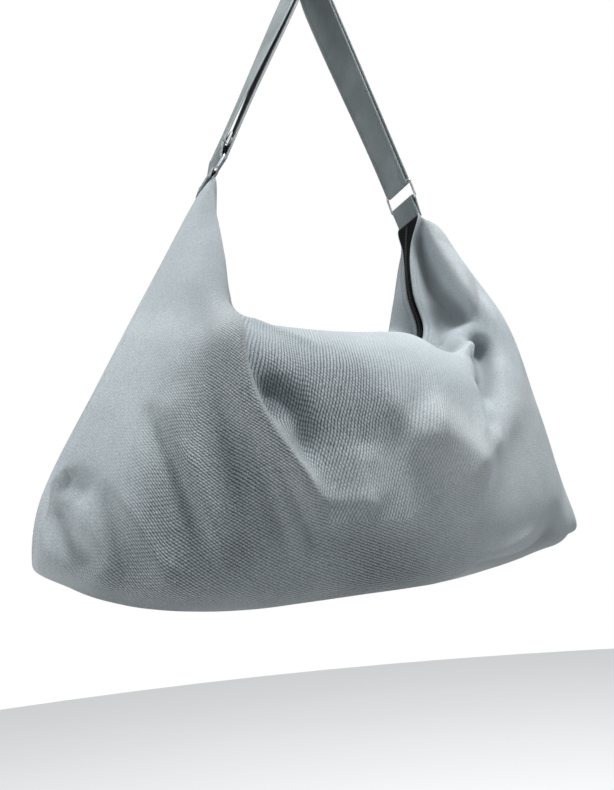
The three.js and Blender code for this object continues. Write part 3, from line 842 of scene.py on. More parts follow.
@dataclass
class BagBody:
    """The hollow canvas bag: front and back panels that meet in the gussets and the bottom.

    Lengths are in millimetres, and a fade, level, end or seam is a share of the way across or
    down a panel. A full crest is the lift that counts as 1 for the finish. The ribs are turned
    by the two grains and are coarser on the roll.
    """

    half_width: float = 277.0
    body_height: float = 400.0
    half_depth: float = 98.0
    wall: float = 1.6
    peak_drop: float = 295.0
    hang_shift: float = -11.0
    roll_level: float = 0.12
    side_seam: float = 0.95
    front_cells: int = 230
    gusset_cells: int = 5
    roll_cells: int = 30
    panel_cells: int = 90
    lip_cells: int = 26
    fold_steps: int = 24
    fold_end_fade: float = 0.25
    crease_fall: float = 2.2
    crease_round: float = 0.2
    edge_fade: float = 0.06
    slope_step: float = 0.004
    roll_end: float = 0.2
    full_crest: float = 10.0
    back_aside: float = 900.0
    horn_grain: float = math.radians(40)
    roll_grain: float = math.radians(-50)
    roll_coarser: float = 1.25
    finish: CanvasFinish = field(default_factory=CanvasFinish)

    def panel(self, u: np.ndarray, v: np.ndarray, side: Side) -> np.ndarray:
        """A panel before its folds, with the front's sign of y.

        Args:
            u: Places across, from -1 to 1.
            v: Places down, from 0 to 1.
            side: Front or back.

        Returns:
            Points in millimetres, one row for each v and one column for each u.
        """
        places = [s.u for s in SECTIONS]
        row = {name: smooth_through(places, np.array([getattr(s, name) for s in SECTIONS]), u)
               for name in Section.__dataclass_fields__ if name != "u"}
        apart = 1.0 if side is Side.BACK else 0.0
        levels = [0.0, self.roll_level, *(level.v for level in LEVELS)]
        x = [row["mouth_x"], row["roll_x"] + apart * row["back_roll_x"]]
        y = [row["mouth_y"], row["roll_y"]]
        z = [row["mouth_z"], row["roll_z"] + apart * row["back_roll_z"]]
        for level in LEVELS:
            x.append(row["roll_x"] + (row["hem_x"] - row["roll_x"]) * level.along_x
                     + row["high_bow"] * level.of_high_bow + row["low_bow"] * level.of_low_bow)
            y.append(row["belly_y"] * level.of_belly)
            z.append(row["roll_z"] + (row["hem_z"] - row["roll_z"]) * level.along_z)
        return np.stack([
            self.hang_shift + self.half_width * smooth_through(levels, np.array(x), v),
            -self.half_depth * smooth_through(levels, np.array(y), v),
            -self.peak_drop - self.body_height * smooth_through(levels, np.array(z), v),
        ], axis=-1)

    def lift(self, fold: Fold, x: np.ndarray, z: np.ndarray) -> np.ndarray:
        """How far one fold lifts the cloth.

        Args:
            fold: The fold.
            x: Places across, in millimetres.
            z: Heights, in millimetres.

        Returns:
            Lifts in millimetres, in the shape of x.
        """
        corner = np.array([self.hang_shift, -self.peak_drop])
        shares = np.array([(fold.start_x, fold.start_z), (fold.pull_x, fold.pull_z),
                           (fold.end_x, fold.end_z)])
        start, pull, end = corner + shares * (self.half_width, -self.body_height)
        t = np.linspace(0, 1, self.fold_steps + 1)[:, None]
        curve = (1 - t) ** 2 * start + 2 * t * (1 - t) * pull + t**2 * end
        place = np.stack([x, z], axis=-1)
        best = np.full(x.shape, np.inf)
        nearest = np.zeros(x.shape)
        is_right = np.zeros(x.shape, bool)
        for k in range(self.fold_steps):
            along = curve[k + 1] - curve[k]
            reach = place - curve[k]
            share = np.clip((reach @ along) / (along @ along), 0, 1)
            off = reach - share[..., None] * along
            d = np.hypot(off[..., 0], off[..., 1])
            nearer = d < best
            best = np.where(nearer, d, best)
            nearest = np.where(nearer, (k + share) / self.fold_steps, nearest)
            turn = along[0] * off[..., 1] - along[1] * off[..., 0] > 0
            is_right = np.where(nearer, turn, is_right)
        beyond = best / (self.half_width * np.where(is_right, fold.right, fold.left))
        round_form = np.exp(-beyond * beyond)
        crisp_form = np.exp(self.crease_round - np.sqrt(beyond**2 * self.crease_fall + self.crease_round**2))
        form = round_form + (crisp_form - round_form) * fold.crisp
        ends = smooth_step(nearest / self.fold_end_fade) * smooth_step((1 - nearest) / self.fold_end_fade)
        return self.half_depth * fold.rise * form * ends

    def cloth(self, u: np.ndarray, v: np.ndarray, side: Side) -> tuple[np.ndarray, np.ndarray]:
        """A finished panel.

        Args:
            u: Places across, from -1 to 1.
            v: Places down, from 0 to 1.
            side: Front or back.

        Returns:
            Points in millimetres, and how far the folds lift each of them.
        """
        step = self.slope_step
        points = self.panel(u, v, side)
        across = self.panel(np.minimum(u + step, 1), v, side) - self.panel(np.maximum(u - step, -1), v, side)
        down = self.panel(u, np.minimum(v + step, 1), side) - self.panel(u, np.maximum(v - step, 0), side)
        outward = unit(np.cross(down, across))
        fade = (smooth_step((1 - np.abs(u)) / self.edge_fade)[None, :]
                * (smooth_step((1 - v) / self.edge_fade) * smooth_step(v / self.edge_fade))[:, None])
        folds = FRONT_FOLDS if side is Side.FRONT else BACK_FOLDS
        lifts = sum(self.lift(fold, points[..., 0], points[..., 2]) for fold in folds) * fade
        points = points + outward * lifts[..., None]
        if side is Side.BACK:
            points[..., 1] *= -1
        return points, lifts

    def shares(self, points: np.ndarray) -> tuple[np.ndarray, np.ndarray]:
        """Where points lie, x in shares of the half width and z of the body's height."""
        return ((points[:, 0] - self.hang_shift) / self.half_width,
                -(points[:, 2] + self.peak_drop) / self.body_height)

    def grain(self, points: np.ndarray, flat: np.ndarray) -> np.ndarray:
        """Turns the flat cloth so that its ribs lie one way on the roll and another elsewhere.

        Args:
            points: The faces' corners in millimetres, four to a face.
            flat: Their places in the flat cloth.

        Returns:
            The turned places.
        """
        x, z = self.shares(points.reshape(-1, 4, 3).mean(axis=1))
        edge, floor = np.array(GRAIN_EDGE), np.array(GRAIN_FLOOR)
        on_roll = (x > np.interp(z, edge[:, 1], edge[:, 0])) & (z < np.interp(x, floor[:, 0], floor[:, 1]))
        turn = np.repeat(np.where(on_roll, self.roll_grain, self.horn_grain), 4)
        scale = np.repeat(np.where(on_roll, 1 / self.roll_coarser, 1.0), 4)
        c, s = np.cos(turn) * scale, np.sin(turn) * scale
        return np.stack([flat[:, 0] * c + flat[:, 1] * s, flat[:, 1] * c - flat[:, 0] * s], axis=-1)

    def ribbed(self, points: np.ndarray) -> np.ndarray:
        """How clearly the ribs show at each point.

        Args:
            points: Points in millimetres.

        Returns:
            A number from 0 to 1 for each point.
        """
        x, z = self.shares(points)
        shown = np.ones(len(points))
        for fade in RIB_FADES:
            gone = smooth_step((x * fade.across + z * fade.down - fade.start) / fade.width)
            shown = shown * (1 - fade.share * gone)
        return shown

    def laid_flat(self, sheet: np.ndarray, aside: float) -> tuple[np.ndarray, np.ndarray]:
        """A panel laid flat.

        Args:
            sheet: The panel's points, row after row.
            aside: Where its middle lies across.

        Returns:
            How far each point lies below the mouth's edge, and its place in the flat cloth.
        """
        fallen, gone = run_length(sheet, 0), run_length(sheet, 1)
        across = gone - gone[:, [sheet.shape[1] // 2]] + aside
        return fallen, np.stack([across, fallen[-1:] - fallen], axis=-1)

    def build(self) -> bpy.types.Object:
        """Both panels with their turned-in lips, as one mesh.

        Returns:
            The dressed body.
        """
        seam = self.side_seam
        u = np.concatenate([
            np.linspace(-1, -seam, self.gusset_cells + 1)[:-1],
            np.linspace(-seam, seam, self.front_cells + 1),
            np.linspace(seam, 1, self.gusset_cells + 1)[1:],
        ])
        v = np.concatenate([np.linspace(0, self.roll_end, self.roll_cells + 1)[:-1],
                            np.linspace(self.roll_end, 1, self.panel_cells + 1)])
        columns, rows = len(u), len(v)
        front, front_lift = self.cloth(u, v, Side.FRONT)
        back, back_lift = self.cloth(u, v, Side.BACK)
        front_number = np.arange(rows * columns).reshape(rows, columns)
        back_number = front_number + rows * columns
        back_number[:, 0] = front_number[:, 0]
        back_number[:, -1] = front_number[:, -1]
        back_number[-1] = front_number[-1]
        points = np.concatenate([front.reshape(-1, 3), back.reshape(-1, 3)])
        faces = np.concatenate([grid_faces(front_number), grid_faces(back_number)[:, ::-1]])
        corners = points[faces]
        flat = np.cross(corners[:, 2] - corners[:, 0], corners[:, 3] - corners[:, 1])
        normals = np.zeros_like(points)
        for k in range(4):
            np.add.at(normals, faces[:, k], flat)
        normals /= np.maximum(np.linalg.norm(normals, axis=1, keepdims=True), 1e-9)
        inner = points - normals * self.wall
        count = len(points)
        lip = slice(0, self.lip_cells + 1)
        inside = np.concatenate([grid_faces(front_number[lip])[:, ::-1], grid_faces(back_number[lip])])
        rim = np.concatenate([front_number[0], back_number[0][-2:0:-1]])
        after = np.roll(rim, -1)
        edge = np.stack([rim, after, after + count, rim + count], axis=-1)
        faces = np.concatenate([faces, inside + count, edge])
        points = np.concatenate([points, inner])
        used = np.unique(faces)
        renumber = np.zeros(len(points), int)
        renumber[used] = np.arange(len(used))
        made = mesh_object("bag_canvas", points[used] * MM, renumber[faces])

        front_fallen, front_flat = self.laid_flat(front, 0.0)
        back_fallen, back_flat = self.laid_flat(back, self.back_aside)
        corner = used[corner_points(made)]
        panel_corners, lip_corners = ((columns - 1) * cells * 4 for cells in (rows - 1, self.lip_cells))
        is_back = np.repeat([False, True, False, True, False],
                            [panel_corners, panel_corners, lip_corners, lip_corners, len(edge) * 4])
        place = (corner % count) % (rows * columns)
        flat = np.where(is_back[:, None], back_flat.reshape(-1, 2)[place], front_flat.reshape(-1, 2)[place])
        add_uv(made, self.grain(points[corner], flat) * MM)
        lifts = np.concatenate([front_lift.ravel(), back_lift.ravel()])
        fallen = np.concatenate([front_fallen.ravel(), back_fallen.ravel()])
        add_number(made, "ribbed", self.ribbed(points[used]))
        add_number(made, "crest", lifts[used % count] / self.full_crest)
        add_number(made, "from_mouth", fallen[used % count] * MM)
        dress(made, self.finish.material(), "bag_body")
        return made


# Strap, rings and slider


ARC_STEP = math.radians(7)


def straight_between(first: np.ndarray, first_offset: float, second: np.ndarray,
                     second_offset: float) -> tuple[np.ndarray, np.ndarray]:
    """Where a straight stretch leaves one circle and meets another.

    Args:
        first: Middle of the circle that it leaves.
        first_offset: That circle's radius, above zero where its middle is right of the travel.
        second: Middle of the circle that it meets.
        second_offset: Its radius, with the same sign.

    Returns:
        The two touching points.
    """
    line = second - first
    turn = math.atan2(line[1], line[0]) + math.acos((first_offset - second_offset) / np.hypot(*line))
    aside = np.array([math.cos(turn), math.sin(turn)])
    return first + aside * first_offset, second + aside * second_offset


def arc(middle: np.ndarray, start: np.ndarray, end: np.ndarray, clockwise: bool) -> list[np.ndarray]:
    """Points of an arc, both ends included.

    Args:
        middle: The arc's middle.
        start: Where it starts.
        end: Where it ends.
        clockwise: Which way it goes.

    Returns:
        The points in order.
    """
    first = math.atan2(*(start - middle)[::-1])
    sweep = math.atan2(*(end - middle)[::-1]) - first
    if clockwise and sweep > 0:
        sweep -= math.tau
    if not clockwise and sweep < 0:
        sweep += math.tau
    steps = max(2, math.ceil(abs(sweep) / ARC_STEP))
    radius = np.hypot(*(start - middle))
    angles = first + sweep * np.linspace(0, 1, steps + 1)
    return [middle + radius * np.array([math.cos(a), math.sin(a)]) for a in angles]


def dense(path: Sequence[np.ndarray], longest: float) -> np.ndarray:
    """A path with no stretch longer than asked for.

    Args:
        path: Its points in order.
        longest: The longest stretch that it may keep.

    Returns:
        The path with points added on its longer stretches.
    """
    points = [path[0]]
    for start, end in zip(path[:-1], path[1:]):
        steps = max(1, math.ceil(np.hypot(*(end - start)) / longest))
        points += [start + (end - start) * k / steps for k in range(1, steps + 1)]
    return np.array(points)


@dataclass
class Hanging:
    """Where the strap, the rings and the tabs lie, in millimetres in the plane y = 0.

    Pairs are for the left and the right ring. The strap turns about the vertical from its
    twist's foot up to its head, and the tabs' feet reach into the peaks by the seat's lift.
    """

    strap_width: float = 38.0
    strap_thickness: float = 2.0
    peg_radius: float = 8.0
    strand_spacing: float = 4.0
    wire_radius: float = 1.4
    ring_height: float = 21.0
    ring_corner: float = 3.0
    side_play: float = 1.6
    ring_drop: tuple[float, float] = (279.0, 256.5)
    ring_reach: tuple[float, float] = (-126.0, 93.5)
    longest_step: float = 7.0
    tab_step: float = 3.0
    slider_lift: float = 20.0
    slider_bar: float = 2.2
    slider_slot: float = 6.4
    stub_length: float = 5.0
    stub_lean: float = 1.3
    seat_lift: float = -3.5
    fit_gap: float = 0.35
    edge_length: float = 1.4
    edge_points: int = 5
    flat_points: int = 9
    twist: float = math.radians(17)
    twist_foot: float = -240.0
    twist_head: float = -16.0
    body: BagBody = field(default_factory=BagBody)

    def peak(self, hand: Hand) -> np.ndarray:
        """The gusset's top edge at one peak.

        Args:
            hand: Which peak.

        Returns:
            Its x and z, in millimetres.
        """
        u = np.array([-1.0 if hand is Hand.LEFT else 1.0])
        point = self.body.panel(u, np.array([0.0]), Side.FRONT)[0, 0]
        return point[[0, 2]]

    def bars(self, hand: Hand) -> tuple[np.ndarray, np.ndarray, np.ndarray]:
        """A ring's two bars.

        Args:
            hand: The peak that the ring hangs over.

        Returns:
            The upper bar's place, the lower bar's and the direction down from one to the other.
        """
        k = 0 if hand is Hand.LEFT else 1
        upper = np.array([self.ring_reach[k], -self.ring_drop[k]])
        down = unit(self.peak(hand) - upper)
        return upper, upper + down * self.ring_height, down

    @property
    def ring_loop(self) -> float:
        """Radius of the cloth's middle round a ring's wire."""
        return self.wire_radius + self.fit_gap + self.strap_thickness / 2

    @property
    def bar_loop(self) -> float:
        """Radius of the cloth's middle round the slider's bar."""
        return self.slider_bar * math.sqrt(0.5) + self.fit_gap + self.strap_thickness / 2

    def slider_place(self) -> tuple[np.ndarray, np.ndarray, np.ndarray]:
        """Where the slider lies on the strap.

        Returns:
            Its middle, the direction up the strap and the one out from it.
        """
        peg = np.array([0.0, -self.peg_radius])
        inner = self.peg_radius + self.strap_thickness / 2
        start, end = straight_between(self.bars(Hand.LEFT)[0], -self.ring_loop, peg, inner)
        run = unit(end - start)
        out = quarter_turn(run)
        middle = start + run * self.slider_lift + out * (self.strap_thickness + self.fit_gap + self.bar_loop)
        return middle, run, out

    def strap_path(self) -> np.ndarray:
        """The strap's middle from the left ring to the slider.

        Returns:
            Points in order, in millimetres.
        """
        peg = np.array([0.0, -self.peg_radius])
        inner = self.peg_radius + self.strap_thickness / 2
        outer = inner + self.strand_spacing
        left, right = self.bars(Hand.LEFT)[0], self.bars(Hand.RIGHT)[0]
        middle, run, out = self.slider_place()
        first = straight_between(left, -self.ring_loop, peg, inner)
        over = straight_between(peg, inner, right, -self.ring_loop)
        back = straight_between(right, -self.ring_loop, peg, -outer)
        last = straight_between(peg, -outer, middle, -self.bar_loop)
        below = middle - run * (self.bar_loop + self.strap_thickness)
        stub_top = below + out * (self.slider_bar / 2 + self.strap_thickness / 2 + self.stub_lean)
        stub = straight_between(stub_top, 0, left, -self.ring_loop)
        hook_end = middle - out * self.bar_loop
        return dense([
            stub[0],
            *arc(left, stub[1], first[0], False),
            *arc(peg, first[1], over[0], True),
            *arc(right, over[1], back[0], False),
            *arc(peg, back[1], last[0], False),
            *arc(middle, last[1], hook_end, False),
            hook_end + run * self.stub_length,
        ], self.longest_step)

    def turned(self, z: np.ndarray) -> np.ndarray:
        """How far the strap has turned about the vertical at a height, in radians."""
        return self.twist * smooth_step((z - self.twist_foot) / (self.twist_head - self.twist_foot))

    def tab_path(self, hand: Hand) -> np.ndarray:
        """A tab's middle, from the peak round the ring's lower bar and down again.

        Args:
            hand: The peak that the tab is sewn to.

        Returns:
            Points in order, in millimetres.
        """
        _, lower, down = self.bars(hand)
        aside = quarter_turn(down)
        leg = (self.strap_thickness + self.fit_gap) / 2
        foot = self.peak(hand) - down * self.seat_lift
        up = straight_between(foot - aside * leg, 0, lower, self.ring_loop)
        back = straight_between(lower, self.ring_loop, foot + aside * leg, 0)
        bend = arc(lower, up[1], back[0], True)
        return dense([foot - aside * leg, *bend, foot + aside * leg], self.tab_step)


def strip_profile(lie: Hanging) -> np.ndarray:
    """The outline of a strip across its run.

    Args:
        lie: The strap's sizes.

    Returns:
        Rows of a height above the strip's middle and a place across it, in millimetres.
    """
    half, thin = lie.strap_width / 2, lie.strap_thickness / 2
    edge = thin * lie.edge_length
    flats = np.linspace(edge - half, half - edge, lie.flat_points)
    bend = np.radians(np.linspace(90, -90, lie.edge_points + 2))[1:-1]
    edge_y, edge_n = half - edge + edge * np.cos(bend), thin * np.sin(bend)
    return np.array([*[(thin, y) for y in flats], *zip(edge_n, edge_y),
                     *[(-thin, y) for y in flats[::-1]], *zip(-edge_n, -edge_y)])


def cloth_strip(name: str, path: np.ndarray, lie: Hanging) -> bpy.types.Object:
    """A flat strip with rounded edges along a path in the XZ plane, turned with the strap.

    Args:
        name: The piece's name.
        path: Its middle, in millimetres.
        lie: The strap's sizes, and how far it has turned at each height.

    Returns:
        The strip, with its length and girth as UV map "cloth", in metres.
    """
    profile = strip_profile(lie)
    around = len(profile)
    girth = run_length(np.concatenate([profile, profile[:1]]))
    turned = lie.turned(path[:, 1])
    bend = lie.peg_radius + lie.strap_thickness + lie.strand_spacing
    middle = np.stack([path[:, 0], np.clip(path[:, 0], -bend, bend) * np.sin(turned), path[:, 1]], axis=-1)
    length = run_length(middle)
    ways = unit(np.diff(middle, axis=0))
    tangent = unit(np.concatenate([ways[:1], ways[:-1] + ways[1:], ways[-1:]]))
    longer = 1 / np.maximum((tangent[1:-1] * ways[:-1]).sum(1), 0.5)
    wide = np.stack([-np.sin(turned), np.cos(turned), np.zeros(len(path))], axis=-1)
    wide = unit(wide - tangent * (wide * tangent).sum(1)[:, None])
    aside = np.cross(tangent, wide)
    aside *= np.sign(aside[:, :1] * -tangent[:, 2:] + aside[:, 2:] * tangent[:, :1])
    aside[1:-1] *= longer[:, None]
    points = (middle[:, None] + aside[:, None] * profile[None, :, :1]
              + wide[:, None] * profile[None, :, 1:]).reshape(-1, 3)
    uvs = []
    for start, end in zip(length[:-1], length[1:]):
        for low, high in zip(girth[:-1], girth[1:]):
            uvs += [(start, low), (start, high), (end, high), (end, low)]
    for end, turn in ((length[0], -1), (length[-1], 1)):
        uvs += [(end + height, low) for (height, _), low in zip(profile, girth)][::turn]
    made = mesh_object(name, points * MM, tube_faces(len(path), around))
    add_uv(made, np.array(uvs) * MM)
    return made


def rounded_outline(half_wide: float, half_high: float, corner: float, steps: int) -> list[tuple]:
    """A rectangle with round corners.

    Args:
        half_wide: Half its width.
        half_high: Half its height.
        corner: Radius of its corners.
        steps: How many steps each corner has.

    Returns:
        Rows of a place across, a place up, and the direction outward in radians.
    """
    points = []
    for quarter, (way_x, way_y) in enumerate([(1, 1), (-1, 1), (-1, -1), (1, -1)]):
        for k in range(steps + 1):
            a = (quarter + k / steps) * math.pi / 2
            points.append((way_x * (half_wide - corner) + corner * math.cos(a),
                           way_y * (half_high - corner) + corner * math.sin(a), a))
    return points


@dataclass
class Strap:
    """The doubled shoulder strap and the two tabs that carry the bag."""

    hanging: Hanging
    finish: StrapFinish = field(default_factory=StrapFinish)

    def build(self) -> list[bpy.types.Object]:
        """The strap and both tabs.

        Returns:
            The dressed pieces.
        """
        lie = self.hanging
        cloth = self.finish.material()
        runs = {"strap": lie.strap_path(), "tab_left": lie.tab_path(Hand.LEFT),
                "tab_right": lie.tab_path(Hand.RIGHT)}
        pieces = []
        for node, path in runs.items():
            made = cloth_strip(f"{node}_cloth", path, lie)
            dress(made, cloth, node)
            pieces.append(made)
        return pieces


@dataclass
class Rings:
    """The two wire rings between strap and tabs."""

    hanging: Hanging
    wire_sides: int = 20
    corner_steps: int = 10
    finish: SteelFinish = field(default_factory=SteelFinish)

    def ring(self, hand: Hand, metal: bpy.types.Material) -> bpy.types.Object:
        """One wire, bent to a rounded rectangle.

        Args:
            hand: The peak that it hangs on.
            metal: Its material.

        Returns:
            The dressed ring.
        """
        lie = self.hanging
        upper, lower, down = lie.bars(hand)
        middle = (upper + lower) / 2
        half_wide = lie.strap_width / 2 + lie.side_play + lie.wire_radius
        path = rounded_outline(half_wide, lie.ring_height / 2, lie.ring_corner, self.corner_steps)
        points = []
        for y, d, a in path:
            for turn in np.arange(self.wire_sides) * math.tau / self.wire_sides:
                out, off = lie.wire_radius * math.cos(turn), lie.wire_radius * math.sin(turn)
                along = d + out * math.sin(a)
                points.append((middle[0] + down[0] * along - down[1] * off, y + out * math.cos(a),
                               middle[1] + down[1] * along + down[0] * off))
        faces = tube_faces(len(path), self.wire_sides, is_ring=True)
        made = mesh_object(f"ring_wire_{hand.value}", np.array(points) * MM, faces)
        dress(made, metal, f"ring_{hand.value}")
        return made

    def build(self, metal: bpy.types.Material) -> list[bpy.types.Object]:
        """Both rings."""
        return [self.ring(hand, metal) for hand in Hand]


@dataclass
class StrapSlider:
    """The flat plate with two slots that sets the strap's length."""

    hanging: Hanging
    edge_round: float = 0.45
    edge_steps: int = 3
    corner_steps: int = 6
    slot_corner: float = 0.9

    def build(self, metal: bpy.types.Material) -> bpy.types.Object:
        """The plate, with rounded edges.

        Args:
            metal: Its material.

        Returns:
            The dressed slider.
        """
        lie = self.hanging
        bar, slot = lie.slider_bar, lie.slider_slot
        slot_half = lie.strap_width / 2 + lie.side_play
        curve = bpy.data.curves.new("slider_outline", "CURVE")
        curve.dimensions = "2D"
        curve.fill_mode = "BOTH"
        plate = rounded_outline(slot_half + bar, 1.5 * bar + slot, bar, self.corner_steps)
        hole = rounded_outline(slot_half, slot / 2, self.slot_corner, self.corner_steps)
        for outline, shift in ((plate, 0), (hole, -(bar + slot) / 2), (hole, (bar + slot) / 2)):
            spline = curve.splines.new("POLY")
            spline.points.add(len(outline) - 1)
            for point, (y, d, _) in zip(spline.points, outline):
                point.co = (y * MM, (d + shift) * MM, 0, 1)
            spline.use_cyclic_u = True
        curve.offset = -self.edge_round * MM
        curve.bevel_depth = self.edge_round * MM
        curve.bevel_resolution = self.edge_steps
        curve.extrude = (bar / 2 - self.edge_round) * MM
        holder = linked("slider_outline", curve)
        bpy.context.view_layer.update()
        mesh = bpy.data.meshes.new_from_object(holder.evaluated_get(bpy.context.evaluated_depsgraph_get()))
        bpy.data.objects.remove(holder)
        middle, run, _ = lie.slider_place()
        y_way, up_way = Vector((0, 1, 0)), Vector((run[0], 0, run[1]))
        basis = Matrix((y_way, up_way, y_way.cross(up_way))).transposed().to_4x4()
        basis.translation = Vector((middle[0], 0, middle[1])) * MM
        mesh.transform(basis)
        mesh.polygons.foreach_set("use_smooth", [False] * len(mesh.polygons))
        made = linked("slider_plate", mesh)
        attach(made, BODY)
        dress(made, metal, "strap_slider")
        return made


# Zip


@dataclass(frozen=True)
class Block:
    """A block of the zip's slider, in millimetres along the tape, above it and across it.

    The block gets narrower towards its end by the share taper.
    """

    start: float
    end: float
    low: float
    high: float
    wide: float
    taper: float


SLIDER_BLOCKS = (
    Block(0.0, 9.0, 0.0, 1.3, 8.0, 0.35),
    Block(1.0, 7.0, 1.5, 3.0, 3.0, 0.00),
    Block(4.5, 20.0, 1.9, 2.9, 5.2, 0.15),
)


@dataclass
class Zip:
    """The closed zip in the bag's mouth, with its slider and pull.

    Lengths are in millimetres, end and place are values of u, and a seat or share is a share
    of what it is multiplied with.
    """

    body: BagBody
    thickness: float = 1.2
    end: float = 0.934
    cells: int = 220
    tape_points: int = 9
    tape_gap: float = 0.05
    below_aside: float = 40.0
    teeth_share: float = 0.99
    tooth_pitch: float = 1.7
    tooth_size: tuple[float, float, float] = (1.1, 3.6, 1.5)
    tooth_stagger: float = 0.55
    tooth_seat: float = 0.6
    ahead: float = 0.5
    slider_place: float = -0.8
    edge_round: float = 0.35
    edge_steps: int = 3
    fit_gap: float = 0.35
    finish: ZipFinish = field(default_factory=ZipFinish)

    def edge(self, u: np.ndarray) -> np.ndarray:
        """Points of the mouth's front edge, in millimetres."""
        return self.body.panel(np.clip(u, -self.end, self.end), np.array([0.0]), Side.FRONT)[0]

    def tape(self) -> bpy.types.Object:
        """The tape, as wide as the mouth's slot.

        Returns:
            The dressed tape.
        """
        edge = self.edge(np.linspace(-self.end, self.end, self.cells + 1))
        path = edge[:, [0, 2]]
        aside = quarter_turn(unit(np.gradient(path, axis=0)))
        half = -edge[:, 1] - self.body.wall - self.tape_gap
        shares = np.linspace(-1, 1, self.tape_points)
        profile = [(1, s) for s in shares] + [(-1, s) for s in shares[::-1]]
        points, flat = [], []
        for at, out, wide, gone in zip(path, aside, half, run_length(path)):
            for face, share in profile:
                spot = at + out * (face * self.thickness / 2)
                points.append((spot[0], share * wide, spot[1]))
                flat.append((gone, share * wide + face * self.below_aside))
        made = mesh_object("zip_tape_cloth", np.array(points) * MM, tube_faces(len(path), len(profile)))
        add_uv(made, np.array(flat)[corner_points(made)] * MM)
        dress(made, self.finish.tape_material(), "zip_tape")
        return made

    def teeth(self) -> bpy.types.Object:
        """Two rows of teeth, closed into each other.

        Returns:
            The dressed teeth.
        """
        end = self.end * self.teeth_share
        fine = self.edge(np.linspace(-end, end, 4 * self.cells))[:, [0, 2]]
        length = run_length(fine)
        stops = np.arange(self.tooth_pitch, length[-1], self.tooth_pitch)
        long, wide, tall = (size / 2 for size in self.tooth_size)
        outline = ((-1, -1), (-1, 0.3), (-0.6, 1), (0.6, 1), (1, 0.3), (1, -1))
        points, faces = [], []
        for k, stop in enumerate(stops):
            at, on = (np.array([np.interp(gone, length, fine[:, axis]) for axis in (0, 1)])
                      for gone in (stop, stop + self.ahead))
            way = unit(on - at)
            out = quarter_turn(way)
            at = at + out * (self.thickness / 2 + tall * self.tooth_seat)
            shift = self.tooth_stagger if k % 2 else -self.tooth_stagger
            faces += [tuple(len(points) + i for i in face) for face in tube_faces(2, len(outline))]
            for a in (-1, 1):
                for y, n in outline:
                    spot = at + way * a * long + out * n * tall
                    points.append((spot[0], shift + y * wide, spot[1]))
        made = mesh_object("zip_teeth", np.array(points) * MM, faces)
        made.data.polygons.foreach_set("use_smooth", [False] * len(made.data.polygons))
        dress(made, self.finish.coil_material())
        return made

    def slider(self, metal: bpy.types.Material) -> bpy.types.Object:
        """The slider and its flat pull, lying along the tape.

        Args:
            metal: Their material.

        Returns:
            The dressed slider with its pull.
        """
        places = np.array([self.slider_place, self.slider_place + self.body.slope_step])
        at, on = self.edge(places)[:, [0, 2]]
        way = unit(on - at)
        out = quarter_turn(way)
        base = at + out * (self.thickness / 2 + self.fit_gap)
        solid = bmesh.new()
        for block in SLIDER_BLOCKS:
            verts = bmesh.ops.create_cube(solid, size=1.0)["verts"]
            for vert in verts:
                a, n, y = vert.co.x + 0.5, vert.co.y + 0.5, vert.co.z
                gone = block.start + (block.end - block.start) * a
                spot = base + way * gone + out * (block.low + (block.high - block.low) * n)
                vert.co = Vector((spot[0], y * block.wide * (1 - block.taper * a), spot[1])) * MM
            edges = list({edge for vert in verts for edge in vert.link_edges})
            bmesh.ops.bevel(solid, geom=edges, offset=self.edge_round * MM, segments=self.edge_steps,
                            affect="EDGES")
        bmesh.ops.recalc_face_normals(solid, faces=solid.faces)
        mesh = bpy.data.meshes.new("zip_slider")
        solid.to_mesh(mesh)
        solid.free()
        made = linked("zip_slider", mesh)
        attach(made, BODY)
        dress(made, metal, "zip_pull")
        return made

    def build(self, metal: bpy.types.Material) -> list[bpy.types.Object]:
        """Tape, teeth and slider."""
        return [self.tape(), self.teeth(), self.slider(metal)]


# Studio


@dataclass(frozen=True)
class SoftLight:
    """A square lamp aimed at the bag's middle: place and size in metres, power in watts."""

    name: str
    at: tuple[float, float, float]
    size: float
    power: float


LAMPS = (
    SoftLight("key", (0.15, -0.65, 1.35), 0.45, 40),
    SoftLight("side", (0.9, -1.1, 0.5), 0.9, 3),
    SoftLight("fill", (-1.5, 0.0, -0.6), 0.9, 9),
)


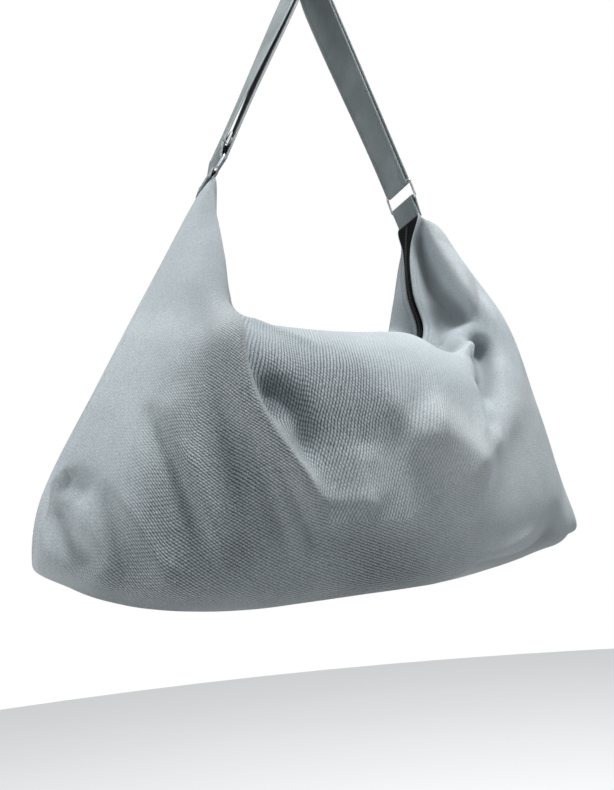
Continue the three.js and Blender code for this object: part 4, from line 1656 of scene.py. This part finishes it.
@dataclass
class Studio:
    """Pale floor, soft light and the camera at the photograph's angle.

    The focal length and the image's height are in the photograph's pixels, the sensor in
    millimetres, places in metres and angles in radians.
    """

    focal: float = 700.0
    image_height: float = 790.0
    sensor: float = 36.0
    heading: float = math.radians(29.2)
    pitch: float = math.radians(15.8)
    roll: float = math.radians(-5.4)
    camera_at: tuple[float, float, float] = (-0.359, -0.554, -0.688)
    lit_middle: tuple[float, float, float] = (0, 0, -0.45)
    low_sky: Colour = (0.12, 0.125, 0.13, 1)
    high_sky: Colour = (0.74, 0.76, 0.78, 1)
    bounce: Colour = (0.70, 0.70, 0.70, 1)
    floor_drop: float = 1.15
    floor_reach: float = 4.0

    def camera(self) -> None:
        """Makes the scene's camera, turned by heading, pitch and roll."""
        ahead = Vector((math.sin(self.heading) * math.cos(self.pitch),
                        math.cos(self.heading) * math.cos(self.pitch), math.sin(self.pitch)))
        right = Vector((math.cos(self.heading), -math.sin(self.heading), 0))
        up = right.cross(ahead)
        c, s = math.cos(self.roll), math.sin(self.roll)
        axes = Matrix((c * right + s * up, -s * right + c * up, -ahead)).transposed().to_4x4()
        axes.translation = Vector(self.camera_at)
        lens = bpy.data.cameras.new("camera")
        lens.lens = self.focal / self.image_height * self.sensor
        lens.sensor_width = self.sensor
        lens.sensor_fit = "AUTO"
        lens.clip_start = 0.01
        made = linked("camera", lens)
        made.matrix_world = axes
        bpy.context.scene.camera = made

    def light(self, lamp: SoftLight) -> None:
        """Adds one lamp.

        Args:
            lamp: Where it stands, its size and its power.
        """
        light = bpy.data.lights.new(lamp.name, "AREA")
        light.size = lamp.size
        light.energy = lamp.power
        made = linked(lamp.name, light)
        made.location = lamp.at
        aim = Vector(self.lit_middle) - Vector(lamp.at)
        made.rotation_euler = aim.to_track_quat("-Z", "Y").to_euler()

    def sky(self) -> None:
        """White surroundings that light the bag from above and softly from straight below."""
        world = bpy.data.worlds.new("studio")
        bpy.context.scene.world = world
        shader = Shader(world)
        up = shader.parts(shader.node("ShaderNodeTexCoord").outputs["Generated"])[2]
        seen = Value(shader, shader.node("ShaderNodeLightPath").outputs["Is Camera Ray"])
        glow = shader.blend(up.between(-0.2, 0.9), self.low_sky, self.high_sky)
        glow = shader.blend(1 - up.between(-0.9, -0.1), glow, self.bounce)
        tint = shader.blend(seen, glow, (1, 1, 1, 1))
        back = shader.node("ShaderNodeBackground", {}, {"Color": tint, "Strength": 1.0})
        shader.node("ShaderNodeOutputWorld", {}, {"Surface": back.outputs[0]})

    def floor(self) -> None:
        """A wide pale round floor well below the bag, unseen by diffuse bounces."""
        rim = [(math.cos(a) * self.floor_reach, math.sin(a) * self.floor_reach, -self.floor_drop)
               for a in np.linspace(0, math.tau, 65)[:-1]]
        mesh = bpy.data.meshes.new("floor")
        mesh.from_pydata(rim, [], [tuple(range(len(rim)))])
        made = linked("floor", mesh)
        made.data.materials.append(FloorFinish().material())
        made.visible_diffuse = False

    def build(self) -> None:
        """Camera, sky, lights, floor and plain tones."""
        self.camera()
        self.sky()
        for lamp in LAMPS:
            self.light(lamp)
        self.floor()
        bpy.context.scene.view_settings.view_transform = "Standard"


# Making


def main() -> None:
    """Builds the bag and its studio, and logs how many faces each piece has."""
    logging.basicConfig(level=logging.INFO, format="%(name)s: %(message)s")
    Studio().build()
    metal = SteelFinish().material()
    body = BagBody()
    hanging = Hanging(body=body)
    pieces = [
        body.build(),
        *Strap(hanging).build(),
        *Rings(hanging).build(metal),
        StrapSlider(hanging).build(metal),
        *Zip(body).build(metal),
    ]
    for piece in pieces:
        LOG.info("%s: %d faces", piece.name, len(piece.data.polygons))


if __name__ == "__main__":
    main()
